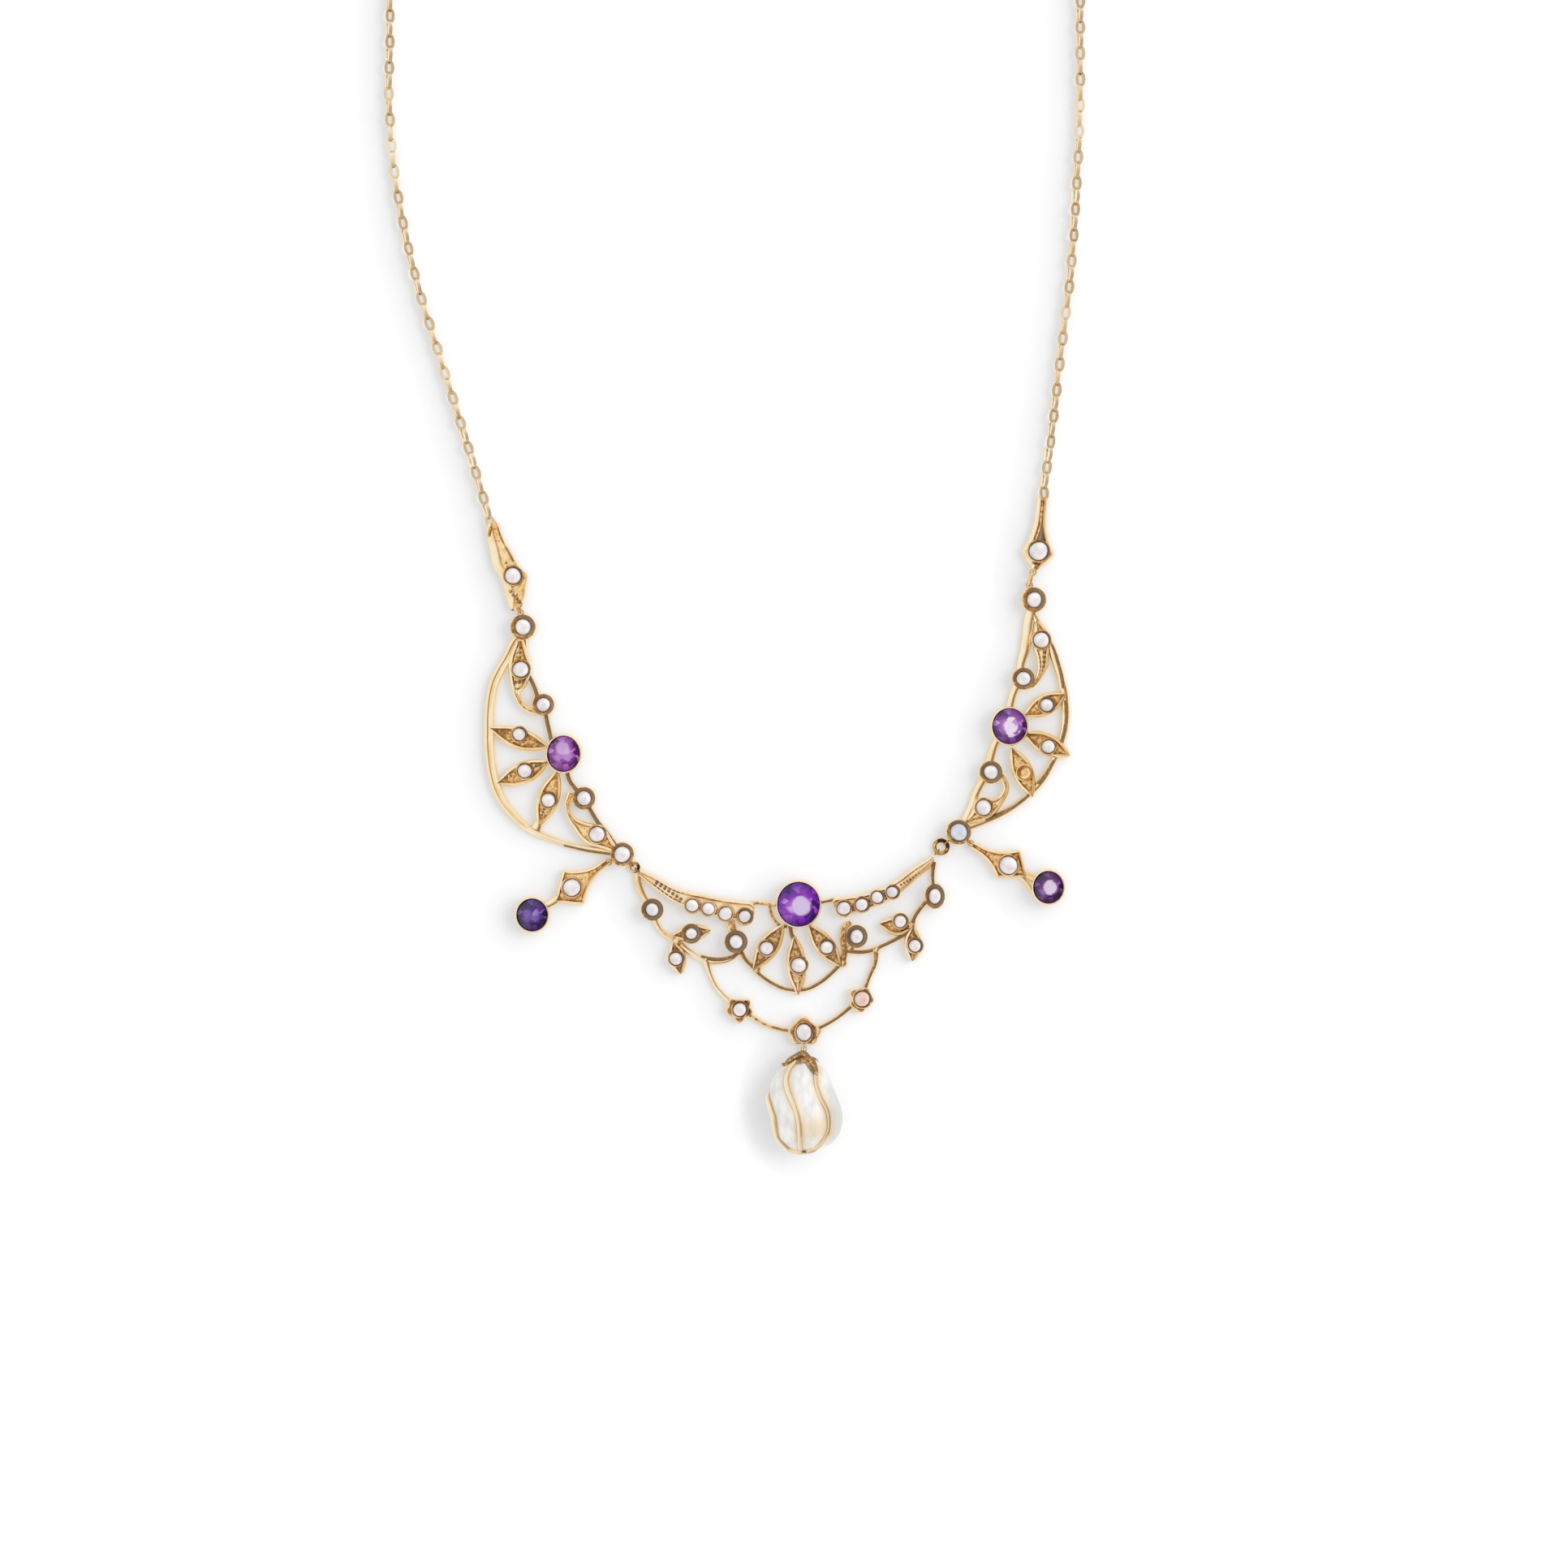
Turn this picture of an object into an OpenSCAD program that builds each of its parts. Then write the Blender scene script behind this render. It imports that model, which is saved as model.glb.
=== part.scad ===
// Openwork drop necklace in yellow gold with seed pearls and round purple stones, lying flat.
// Millimetres, +Z up: every setting faces up and the backs of the metalwork lie at z = 0.
// Plan places are given on a drawing sheet, x to the right and y down the sheet, and plan()
// turns them into the part's own frame, which has its origin in the middle of the whole loop.

/* [Chain and clasp] */
// Width of the trace chain
chain_w = 1.3; // [1:0.1:1.5]
// Length of the barrel of the clasp
barrel_length = 8; // [7:0.5:9]
// Diameter of the barrel of the clasp
barrel_d = 2.6; // [2:0.1:3]

/* [Metalwork] */
// Height of the curved wires and flat strips
wire_h = 0.8; // [0.7:0.05:0.9]
// Height of the leaf settings and kites
leaf_h = 1.1; // [1:0.05:1.2]
// Height of the round cups that hold the pearls
cup_h = 1.9; // [1.6:0.1:2.1]
// Thickness of a cup's wall
cup_wall = 0.22; // [0.18:0.02:0.26]
// Depth of the sunk floor inside a leaf setting
leaf_sink = 0.4; // [0.3:0.05:0.5]

/* [Pearls and stones] */
// Gap between a pearl or stone and the metal round it
seat_gap = 0.05; // [0.04:0.01:0.08]
// Height of the middle of a pearl in a round cup
pearl_z = 1.6; // [1.4:0.05:1.7]
// Height of the widest part of a stone
girdle_z = 2; // [1.9:0.05:2.2]
// Height of the crown of a stone above its widest part
crown_h = 0.9; // [0.7:0.05:1]
// Depth of a stone below its widest part
pavilion_h = 1.5; // [1.2:0.1:1.6]

/* [Drop] */
// Radius of the wires of the cage round the drop
cage_r = 0.26; // [0.2:0.02:0.3]
// Thickness of the cap at the top of the drop
cap_wall = 0.35; // [0.25:0.05:0.4]

/* [Hidden] */
$fn = 64;
gold = "goldenrod";
white = "ivory";
purple = "mediumpurple";
sheet_mid = [90.5, 44.1];
curve_steps = 4;
chain_steps = 3;
chain_sides = 8;
cage_steps = 3;
cage_sides = 8;
drop_steps = 2;
drop_sides = 24;
small_sides = 24;

// Third column of a wire's route: the width of the wire there
W = 2;

// Columns of a pearl: node name, place, radius, whether it sits in a round cup or in a leaf, and
// the thickness of its cup's wall where that isn't cup_wall
NAME = 0;
PX = 1;
PY = 2;
PR = 3;
SEAT = 4;
WALL = 5;

left_pearls = [
    ["left_pearl_top", 64.5, 77.3, 1.05, "cup", 0.35],
    ["left_pearl_upper_comma", 64.2, 82.5, 1.0, "leaf"],
    ["left_pearl_upper", 67.0, 86.85, 0.92, "cup"],
    ["left_pearl_leaf_1", 64.0, 90.5, 0.8, "leaf"],
    ["left_pearl_leaf_2", 64.7, 95.0, 0.88, "leaf"],
    ["left_pearl_leaf_3", 67.6, 98.6, 0.88, "leaf"],
    ["left_pearl_lower", 72.0, 98.35, 0.98, "cup"],
    ["left_pearl_lower_comma", 73.6, 102.8, 0.98, "leaf"],
    ["left_pearl_junction", 76.7, 105.25, 1.05, "cup"],
];
right_pearls = [
    ["right_pearl_top", 127.35, 73.95, 0.98, "cup", 0.35],
    ["right_pearl_upper_comma", 128.25, 78.9, 1.0, "leaf"],
    ["right_pearl_upper", 126.04, 83.64, 0.95, "cup"],
    ["right_pearl_leaf_1", 128.9, 86.9, 0.85, "leaf"],
    ["right_pearl_leaf_2", 129.1, 92.0, 0.85, "leaf"],
    ["right_pearl_lower", 122.05, 95.15, 0.98, "cup"],
    ["right_pearl_lower_comma", 121.15, 99.5, 0.98, "leaf"],
    ["right_pearl_junction", 118.08, 102.53, 1.12, "cup"],
];
// The third leaf on the right has lost its pearl, and its cup is bare
bare_cup = ["bare cup", 126.2, 95.2, 0.85, "leaf"];

centre_pearls = [
    ["centre_pearl_festoon_left", 80.4, 112.05, 0.95, "cup"],
    ["centre_pearl_leaf_left", 85.2, 115.0, 0.82, "cup"],
    ["centre_pearl_tail_left", 83.3, 118.1, 0.82, "leaf"],
    ["centre_pearl_scroll_left", 90.7, 116.0, 1.0, "cup"],
    ["centre_pearl_fan_left", 94.45, 116.8, 0.85, "leaf"],
    ["centre_pearl_fan_middle", 98.4, 118.9, 0.95, "leaf"],
    ["centre_pearl_fan_right", 101.85, 116.7, 0.85, "leaf"],
    ["centre_pearl_scroll_right", 105.53, 115.35, 0.95, "cup"],
    ["centre_pearl_leaf_right", 110.9, 113.5, 0.78, "leaf"],
    ["centre_pearl_tail_right", 112.7, 116.5, 0.8, "leaf"],
    ["centre_pearl_festoon_right", 115.15, 110.4, 0.95, "cup"],
    ["swag_pearl_left", 91.15, 124.25, 0.88, "leaf"],
    ["swag_pearl_middle", 99.05, 127.15, 1.0, "leaf"],
    ["swag_pearl_right", 106.2, 123.05, 0.98, "leaf"],
];
// The pearls of each bar are set wall to wall, so a bar's row is one node
bar_left_pearls = [
    ["bar_pearls_left", 85.3, 111.55, 0.8, "leaf"],
    ["bar_pearls_left", 87.3, 111.95, 0.78, "leaf"],
    ["bar_pearls_left", 89.4, 112.55, 0.85, "leaf"],
    ["bar_pearls_left", 91.75, 112.9, 0.85, "leaf"],
];
bar_right_pearls = [
    ["bar_pearls_right", 103.95, 111.9, 0.85, "leaf"],
    ["bar_pearls_right", 106.15, 111.45, 0.8, "leaf"],
    ["bar_pearls_right", 108.05, 110.55, 0.75, "leaf"],
    ["bar_pearls_right", 109.9, 109.9, 0.72, "leaf"],
];
terminal_left_pearl = ["terminal_pearl_left", 63.25, 71.0, 1.05, "leaf"];
terminal_right_pearl = ["terminal_pearl_right", 127.9, 67.95, 1.2, "leaf"];
side_left_pearl = ["side_pearl_left", 70.5, 109.35, 1.1, "leaf"];
side_right_pearl = ["side_pearl_right", 124.2, 106.6, 1.15, "leaf"];

single_pearls = concat(
    left_pearls, right_pearls, centre_pearls,
    [terminal_left_pearl, terminal_right_pearl, side_left_pearl, side_right_pearl]
);
// A pearl in a leaf sits this much lower than one in a round cup, and so does its cup's rim
leaf_drop = 0.35;
leaf_rim_drop = 0.45;

// Columns of a stone: node name, place, radius
stones = [
    ["amethyst_centre", 98.4, 111.4, 2.6],
    ["amethyst_left", 69.5, 92.9, 2.05],
    ["amethyst_right", 124.35, 89.5, 2.1],
    ["amethyst_side_left", 65.65, 112.7, 1.88],
    ["amethyst_side_right", 129.1, 109.3, 1.82],
];
CENTRE = 0;
LEFT = 1;
RIGHT = 2;
SIDE_LEFT = 3;
SIDE_RIGHT = 4;
// Shares of a stone's radius: its table, and the hole through its holder
table_share = 0.56;
hole_share = 0.62;
girdle_h = 0.1;
ledge_depth = 0.7;
holder_lip = 0.15;

// Columns of a leaf: root, tip, width
ROOT = 0;
TIP = 1;
SPREAD = 2;
leaf_rim = 0.3;
left_leaves = [
    [[64.1, 80.7], [63.9, 85.2], 2.6],
    [[67.7, 92.1], [60.4, 89.7], 2.6],
    [[67.7, 93.8], [61.3, 96.5], 2.7],
    [[68.8, 94.9], [66.4, 101.9], 2.7],
    [[70.5, 100.1], [75.4, 104.4], 2.5],
];
right_leaves = [
    [[127.8, 76.3], [128.6, 82.0], 2.6],
    [[126.2, 88.2], [131.3, 85.5], 2.6],
    [[126.1, 90.3], [131.6, 93.1], 2.6],
    [[124.6, 92.1], [127.2, 98.2], 2.6],
    [[123.6, 97.9], [119.2, 100.9], 2.5],
];
centre_leaves = [
    [[83.0, 115.3], [87.5, 114.8], 2.2],
    [[83.0, 116.1], [83.9, 120.0], 2.2],
    [[96.6, 113.8], [92.8, 119.5], 2.6],
    [[97.9, 115.2], [98.35, 122.6], 2.5],
    [[99.6, 113.9], [103.6, 119.1], 2.5],
    [[112.4, 114.2], [108.6, 113.8], 2.3],
    [[112.5, 114.2], [112.4, 118.4], 2.2],
];

// Curved wires of the left crescent, from the flat outer strip inwards
left_wires = [
    [
        [64.2, 78.4, 1.2], [63.6, 79.4, 1.7], [62.5, 81.2, 1.1], [61.5, 82.9, 1.1],
        [60.8, 84.6, 1.1], [60.4, 87, 1.1], [60.3, 90, 1.1], [60.4, 93, 1.1], [60.9, 96.1, 1.1],
        [61.8, 98.4, 1.1], [63.2, 100.3, 1.1], [65, 102, 1.1], [68, 103.4, 0.7], [71, 104.3, 0.6],
        [75.9, 105, 0.9],
    ],
    [[64.3, 78.4, 1.2], [64.2, 79.8, 1.6], [64.2, 81.4, 1.4]],
    [
        [63, 83, 0.6], [63.2, 84.8, 0.7], [63.7, 86.3, 0.6], [64.6, 87.4, 0.5], [65.4, 87.8, 0.5],
        [66.4, 87.6, 0.6],
    ],
    [[65.2, 83.3, 0.5], [65.8, 84.5, 0.5], [66.3, 86, 0.5]],
    [[67.2, 87.6, 0.5], [67.4, 88.8, 0.5], [68, 91.4, 0.5]],
    [[69.8, 94.6, 0.5], [70.2, 96.2, 0.5], [71.1, 97.4, 0.5]],
    [[72.4, 99.2, 0.5], [73.6, 101.2, 0.5], [74.7, 102.6, 0.6], [75.9, 104.4, 0.7]],
    [[66.7, 100.8, 0.8], [66, 102.2, 1.2]],
    [
        [71.2, 97.6, 0.7], [70.1, 98.4, 0.8], [69.8, 99.8, 0.8], [70.2, 101.3, 0.8],
        [71.2, 102.7, 0.8], [72.6, 103.6, 0.8], [75.9, 104.8, 1.2],
    ],
];
// Curved wires of the right crescent
right_wires = [
    [
        [127.2, 74.8, 1.3], [126.8, 76.5, 1.3], [126.6, 78, 1.3], [126.3, 80, 1.2],
        [125.8, 81.8, 1], [125.7, 83, 0.9],
    ],
    [[127, 75.4, 0.9], [127.9, 76.8, 0.8], [129, 78.6, 0.9], [129.8, 80.8, 1]],
    [
        [129, 78.6, 0.9], [129.8, 80.8, 1], [130.5, 83.4, 1.1], [131, 86, 1.1], [131, 89, 1],
        [130.6, 91.4, 0.8], [129.8, 93.6, 0.6], [128.5, 96, 0.6], [126.6, 98, 0.6],
        [124.4, 99.6, 0.6], [122.2, 100.7, 0.7], [119.2, 101.8, 1.1],
    ],
    [[128.4, 81, 1.3], [128.3, 82.6, 1], [127.7, 84.1, 0.8], [126.6, 84.5, 0.7]],
    [[125.4, 84.3, 0.9], [124.8, 85.6, 0.9], [124.3, 87.6, 0.9]],
    [[123, 90.8, 0.8], [122.4, 92.2, 0.9], [121.8, 94.4, 1]],
    [[121.3, 95.8, 0.9], [120.3, 97.6, 0.9], [119.7, 99.4, 0.9], [118.6, 101.8, 1.1]],
    [[122.8, 95.4, 0.6], [123.8, 96.3, 0.7], [123.9, 97.5, 0.8], [123.1, 98.8, 1]],
];
right_eye_wire = [[117.3, 103.2, 0.5], [116.9, 103.55, 0.5]];
// Curved wires of the centre panel: the festoons, the fan's arc, the struts and the scroll
centre_wires = [
    [[78.85, 107.75, 0.6], [78.85, 109.2, 0.7], [79.3, 110.6, 0.6], [80.2, 111.6, 0.6]],
    [[80.6, 112.6, 0.6], [80.9, 113.8, 0.6], [81.7, 114.9, 0.6], [83.3, 115.8, 1]],
    [
        [83.2, 115.7, 1], [84.2, 116.7, 0.6], [85.6, 117.7, 0.6], [87.2, 118.3, 0.6],
        [88.8, 118.4, 0.6], [90.2, 118, 0.6], [91.1, 116.9, 0.8],
    ],
    [[91.2, 117, 0.8], [91.9, 118.3, 0.7], [93.2, 119.6, 0.6]],
    [[89.9, 113.6, 1.4], [90.6, 115.4, 1.2]],
    [[92.6, 111.3, 0.5], [94.6, 111.4, 0.5], [96.1, 111.6, 0.5]],
    [[94.8, 111.4, 0.5], [95.1, 112.8, 0.5], [95.9, 113.9, 0.5], [97, 114.2, 0.5]],
    [[97.4, 113.9, 0.5], [97.5, 115, 0.5], [97.9, 116, 0.7]],
    [
        [92.9, 119.5, 0.5], [94.9, 121, 0.5], [97, 121.9, 0.5], [99.3, 121.9, 0.5],
        [101.4, 120.8, 0.5], [103.4, 119, 0.6],
    ],
    [
        [103.5, 119, 0.7], [103.8, 118, 0.7], [104.1, 117.2, 0.6], [103.7, 115.8, 0.6],
        [103.9, 114.4, 0.6], [104.8, 113.8, 0.6],
    ],
    [
        [103.8, 117, 0.6], [105.2, 117.2, 0.6], [107, 117.1, 0.6], [109, 116.3, 0.6],
        [111, 115.3, 0.6], [112.4, 114.4, 0.9],
    ],
    [[105.2, 116.2, 0.8], [104.6, 117.1, 0.8]],
    [[112.4, 114.5, 1], [112.6, 113.2, 0.6], [113.4, 111.9, 0.8], [114.5, 110.6, 0.9]],
    [[115, 109.4, 0.6], [114.9, 107.8, 0.6], [115.1, 106.2, 0.7]],
    [[100.6, 111.4, 0.5], [101.6, 111.1, 0.5], [102.9, 110.8, 0.5]],
];
// The two tapered bars that hold rows of pearls
bar_wires = [
    [
        [78.8, 107.45, 0.9], [80.3, 108.6, 1.3], [82, 109.6, 1.5], [83.6, 110.5, 1.9],
        [85.3, 111.3, 2.4], [87.3, 112, 2.7], [89.4, 112.45, 2.9], [91.8, 112.6, 3],
        [93, 112.6, 2.6],
    ],
    [
        [102.6, 112.1, 2.4], [104, 111.8, 2.7], [106.1, 111.3, 2.6], [108, 110.6, 2.4],
        [109.9, 109.8, 2.3], [111.5, 108.8, 1.7], [113, 107.8, 1.5], [114.3, 106.8, 1.2],
        [115.2, 105.5, 0.6],
    ],
];
// The swag's wires, which hang from the festoons and carry the three stars
swag_wires = [
    [[86.9, 118.1, 0.6], [87.5, 120, 0.5], [88.4, 121.8, 0.5], [90.2, 123.7, 0.6]],
    [[92.2, 125, 0.6], [94.7, 126.4, 0.5], [97.8, 127.1, 0.6]],
    [[100.4, 126.9, 0.6], [103, 125.5, 0.5], [105.2, 123.7, 0.6]],
    [[106.5, 122, 0.6], [107.1, 120.4, 0.5], [107.8, 118.7, 0.6], [107.9, 116.9, 0.7]],
];
// Corners of the stars, each round its own pearl
star_left = [[90.3, 122.8], [92.6, 123.0], [92.7, 125.3], [91.0, 126.2], [89.4, 124.4]];
star_middle = [[99.0, 124.9], [101.1, 126.6], [100.3, 128.8], [97.9, 128.8], [97.2, 126.7]];
star_right = [[104.5, 121.8], [106.9, 121.5], [107.8, 123.3], [106.1, 124.9], [104.7, 124.1]];
star_bow = 0.12;

// Corners of the kites, and how far each side bows inwards as a share of its length
terminal_left_outline = [
    [60.1, 64.6], [61.5, 64.6], [62.1, 66.4], [62.9, 67.8], [63.8, 69.2], [64.95, 70.6],
    [64.7, 71.8], [64.5, 73.2], [62.2, 73.2], [61.85, 71.3], [61, 68.5], [60.1, 66],
];
terminal_left_bow = 0;
terminal_left_tail = [[63.35, 72.8, 2], [63.5, 73.8, 1.7], [63.8, 74.2, 1.2]];
terminal_left_tongue = [[63.1, 73.6, 1.1], [63.2, 74.4, 0.7], [63.3, 75.1, 0.5]];
terminal_right_outline = [
    [127.9, 61.2], [129, 61.2], [129.9, 68.4], [129.15, 69.5], [127.8, 70.1], [126.9, 70],
    [125.8, 67.8],
];
side_left_outline = [[74.6, 106.1], [69.6, 107.4], [68.7, 110.9], [71.8, 111.2], [74.8, 106.7]];
side_right_outline = [[120, 104], [125.5, 104.9], [126.3, 107.8], [122.9, 107.9], [119.7, 104.5]];
kite_bow = 0.07;

// Routes of the chain, with the height of its middle as the third column
chain_z = chain_w / 2;
chain_left_route = [
    [60.4, 64.2, chain_z], [57.3, 54, chain_z], [54.2, 44, chain_z], [51.1, 34, chain_z],
    [49, 24, chain_z], [48, 14, chain_z], [48, 4, chain_z], [48, -4, chain_z], [48, -12, chain_z],
    [49.5, -22.5, chain_z], [53.8, -32.8, chain_z], [60.5, -41.5, chain_z],
    [69.2, -48.2, chain_z], [78, -52, chain_z], [85.2, -53, barrel_d / 2],
];
chain_right_route = [
    [128.5, 61, chain_z], [129.4, 54, chain_z], [130.6, 44, chain_z], [131.8, 34, chain_z],
    [132.5, 24, chain_z], [133, 14, chain_z], [133, 4, chain_z], [133, -4, chain_z],
    [133, -12, chain_z], [131.5, -22.5, chain_z], [127.2, -32.8, chain_z],
    [120.5, -41.5, chain_z], [111.8, -48.2, chain_z], [103, -52, chain_z],
    [95.8, -53, barrel_d / 2],
];
clasp_place = [90.5, -53];
clasp_length = 10.2;
collar_r = 0.85;

// Cross sections of the drop, from its cap to its foot: y, left, right, lowest, highest
FROM_LEFT = 1;
TO_RIGHT = 2;
LOWEST = 3;
HIGHEST = 4;
drop_rows = [
    [129.95, 98.5, 99.3, 1.6, 2.4],
    [130.3, 97.6, 100.3, 1.1, 3],
    [131, 96.6, 101, 0.8, 3.8],
    [132, 95.7, 101.8, 0.5, 4.7],
    [133.5, 95, 102.6, 0.2, 5.7],
    [135.5, 94.7, 103.4, 0.05, 6.5],
    [137.5, 94.9, 103.8, 0.05, 6.8],
    [139.3, 95.6, 103.4, 0.2, 6.5],
    [140.6, 96.6, 102.2, 0.8, 5.5],
    [141.3, 97.8, 100.7, 1.6, 4.1],
    [141.5, 98.7, 99.9, 2.2, 3.2],
];
// Rows at which the cap is carried round the drop, and its closed ends above and under its wall
cap_rows = [130.05, 130.3, 130.7, 131.15];
cap_top = [129.5, 98.8, 99, 1.9, 2.1];
cap_inside = [129.87, 98.7, 99.1, 1.8, 2.2];
cap_gap = 0.1;
cage_gap = 0.15;
// Routes of the cage's wires over the front of the drop, and the ball in which they end
cage_routes = [
    [
        [98.2, 130.3], [96.7, 131.3], [95.6, 133.2], [95.2, 135.2], [95.5, 137], [95.9, 139],
        [96.8, 140.4], [98.6, 141.4],
    ],
    [[98, 130.8], [96.9, 133], [97.2, 135], [98.1, 137], [98.5, 139], [98.5, 140.6], [98.9, 141.4]],
    [
        [100, 130.9], [100.6, 134], [101.7, 136.1], [102.2, 138.2], [101.5, 140],
        [100.2, 141.1], [99.3, 141.4],
    ],
];
cage_foot = [99, 142.05, 3.4];
foot_r = 0.45;

// Loops that join the parts: an upright eye on one part, and a flat eye or a flat ring on the
// other. An upright eye clears what passes through it by loop_gap.
eye_wire_r = 0.13;
loop_gap = 0.06;
floor_gap = 0.01;
flat_eye_h = 0.35;
flat_eye_rim = 0.2;
tab_w = 0.6;
flat_eye_clear = 0.12;
// Half the width of the metal that passes through the eyes of the side drops and of the star
plain_eye_r = 0.36;
plain_eye_z = 0.55;
plain_hole_r = 0.26;
eye_standoff = 0.3;
// Columns of a jump ring: place of its middle, radius to the middle of its wire, radius of the wire
ring_left = [78.15, 106.85, 0.53, 0.17];
ring_right = [115.9, 104.4, 0.82, 0.24];
RING_R = 2;
RING_WIRE = 3;
// The points of the panel towards which its eyes leave the rings
panel_left_tip = [78.75, 107.4];
panel_right_tip = [115.15, 105.35];
// Links that stand on edge between a terminal and the round cup below it: both ends, wire radius
link_left = [[63.95, 74.5], [64.15, 75.5], 0.14];
link_right = [[127.2, 70.5], [126.75, 72.15], 0.2];
LINK_WIRE = 2;
// The cups at the junctions, and the plan points towards which the side drops leave them
JUNCTION_LEFT = 8;
JUNCTION_RIGHT = 7;
side_left_towards = [74.9, 106.27];
side_right_towards = [119.9, 104.2];
side_left_necks = [[[69.2, 110.5, 0.6], [67, 111.8, 0.6]]];
side_right_necks = [
    [[125.6, 107.3, 0.7], [127.8, 108.6, 0.7]],
    [[125.2, 107.5, 0.5], [126.3, 108.6, 0.5], [127.3, 110.1, 0.4]],
];
// The eye under the middle star, and the drop's own eye that hangs in it
star_eye = [99, 128.85];
drop_eye = star_eye + [0, plain_eye_r];
stalk_r = 0.16;

function plan(p) = [p.x - sheet_mid.x, sheet_mid.y - p.y, len(p) > 2 ? p[2] : 0];
function flat(p) = [plan(p).x, plan(p).y];
function place(row) = plan([row[PX], row[PY], 0]);
function unit(v) = v / norm(v);
function towards(a, b, distance) = [a.x, a.y] + unit([b.x - a.x, b.y - a.y]) * distance;

// Smooth curve through all points of a route, with the same number of steps in each span
function blend(p, q, r, s, t) =
    0.5 * (
        2 * q + (r - p) * t + (2 * p - 5 * q + 4 * r - s) * t * t
        + (3 * q - p - 3 * r + s) * t * t * t
    );
function smooth(route, steps) = [
    for (i = [0 : len(route) - 2], k = [0 : steps - 1])
        blend(
            route[max(i - 1, 0)], route[i], route[i + 1], route[min(i + 2, len(route) - 1)],
            k / steps
        ),
    route[len(route) - 1]
];
function heading(line, i) = unit(line[min(i + 1, len(line) - 1)] - line[max(i - 1, 0)]);

// Outline of a wire seen from above: its route, moved half its width to each side
function edge_point(line, i, side) =
    let (h = unit([heading(line, i).x, heading(line, i).y]))
    [line[i].x - side * h.y * line[i][W] / 2, line[i].y + side * h.x * line[i][W] / 2];
function strip(route) =
    let (line = smooth([for (p = route) plan(p)], curve_steps))
    concat(
        [for (i = [0 : len(line) - 1]) edge_point(line, i, -1)],
        [for (i = [len(line) - 1 : -1 : 0]) edge_point(line, i, 1)]
    );

// Outline whose straight sides are bowed inwards by a share of their length
function bowed(corners, bow) = [
    for (i = [0 : len(corners) - 1], k = [0 : curve_steps - 1])
        let (
            a = flat(corners[i]),
            along = flat(corners[(i + 1) % len(corners)]) - a,
            t = k / curve_steps
        )
        a + along * t + [-along.y, along.x] * bow * 4 * t * (1 - t) * turning(corners)
];
// +1 where the corners run anticlockwise seen from above, else -1
function turning(corners) = sign(total([
    for (i = [0 : len(corners) - 1])
        let (a = flat(corners[i]), b = flat(corners[(i + 1) % len(corners)]))
        a.x * b.y - b.x * a.y
]));
function total(values, i = 0) = i < len(values) ? values[i] + total(values, i + 1) : 0;

// Round tube along a line of points, with its flats up and down
function tube_points(line, r, sides) = [
    for (i = [0 : len(line) - 1], k = [0 : sides - 1])
        let (
            h = heading(line, i),
            across = unit([-h.y, h.x, 0]),
            up = cross(h, across),
            turn = 360 * (k + 0.5) / sides
        )
        line[i] + r / cos(180 / sides) * (cos(turn) * across + sin(turn) * up)
];
function tube_faces(rings, sides) = concat(
    [[for (k = [0 : sides - 1]) k]],
    [
        for (i = [0 : rings - 2], k = [0 : sides - 1])
            let (next = (k + 1) % sides)
            [i * sides + k, (i + 1) * sides + k, (i + 1) * sides + next, i * sides + next]
    ],
    [[for (k = [sides - 1 : -1 : 0]) (rings - 1) * sides + k]]
);
module tube(line, r, sides)
    polyhedron(tube_points(line, r, sides), tube_faces(len(line), sides), convexity = 6);

// Surface of the drop: an ellipse at each row, and a point on it at an angle round the row
drop_sections = smooth(drop_rows, drop_steps);
function section_at(y) = concat(
    [y],
    [for (c = [FROM_LEFT : HIGHEST]) lookup(y, [for (row = drop_sections) [row[0], row[c]]])]
);
function section_point(row, turn) = plan([
    (row[FROM_LEFT] + row[TO_RIGHT]) / 2 + (row[TO_RIGHT] - row[FROM_LEFT]) / 2 * cos(turn),
    row[0],
    (row[LOWEST] + row[HIGHEST]) / 2 + (row[HIGHEST] - row[LOWEST]) / 2 * sin(turn),
]);
function section_ring(row) = [
    for (k = [0 : drop_sides - 1]) section_point(row, 360 * k / drop_sides)
];
function drop_point(y, turn) = section_point(section_at(y), turn);
// The same point, moved straight out from the surface
function lifted(y, turn, lift) =
    let (
        round = drop_point(y, turn + 1) - drop_point(y, turn - 1),
        along = drop_point(y + 0.1, turn) - drop_point(y - 0.1, turn)
    )
    drop_point(y, turn) + lift * unit(cross(round, along));
function lifted_ring(y, lift) = [
    for (k = [0 : drop_sides - 1]) lifted(y, 360 * k / drop_sides, lift)
];
// Place over the front of the drop above a point of the sheet
function over_drop(p, lift) =
    let (
        row = section_at(p.y),
        share = (2 * p.x - row[FROM_LEFT] - row[TO_RIGHT]) / (row[TO_RIGHT] - row[FROM_LEFT])
    )
    lifted(p.y, acos(max(-1, min(1, share))), lift);

// Small shapes that repeat

module wires(routes, height)
    for (route = routes) linear_extrude(height) polygon(strip(route));

// A pointed leaf seen from above: two equal arcs that meet at its root and tip
module leaf_outline(root, tip, spread) {
    chord = norm(tip - root);
    r = (chord * chord / 4 + spread * spread / 4) / spread;
    middle = (root + tip) / 2;
    across = unit([root.y - tip.y, tip.x - root.x]);
    intersection() {
        translate(middle + across * (r - spread / 2)) circle(r);
        translate(middle - across * (r - spread / 2)) circle(r);
    }
}

module leaves(list)
    for (l = list) linear_extrude(leaf_h) leaf_outline(flat(l[ROOT]), flat(l[TIP]), l[SPREAD]);

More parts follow.
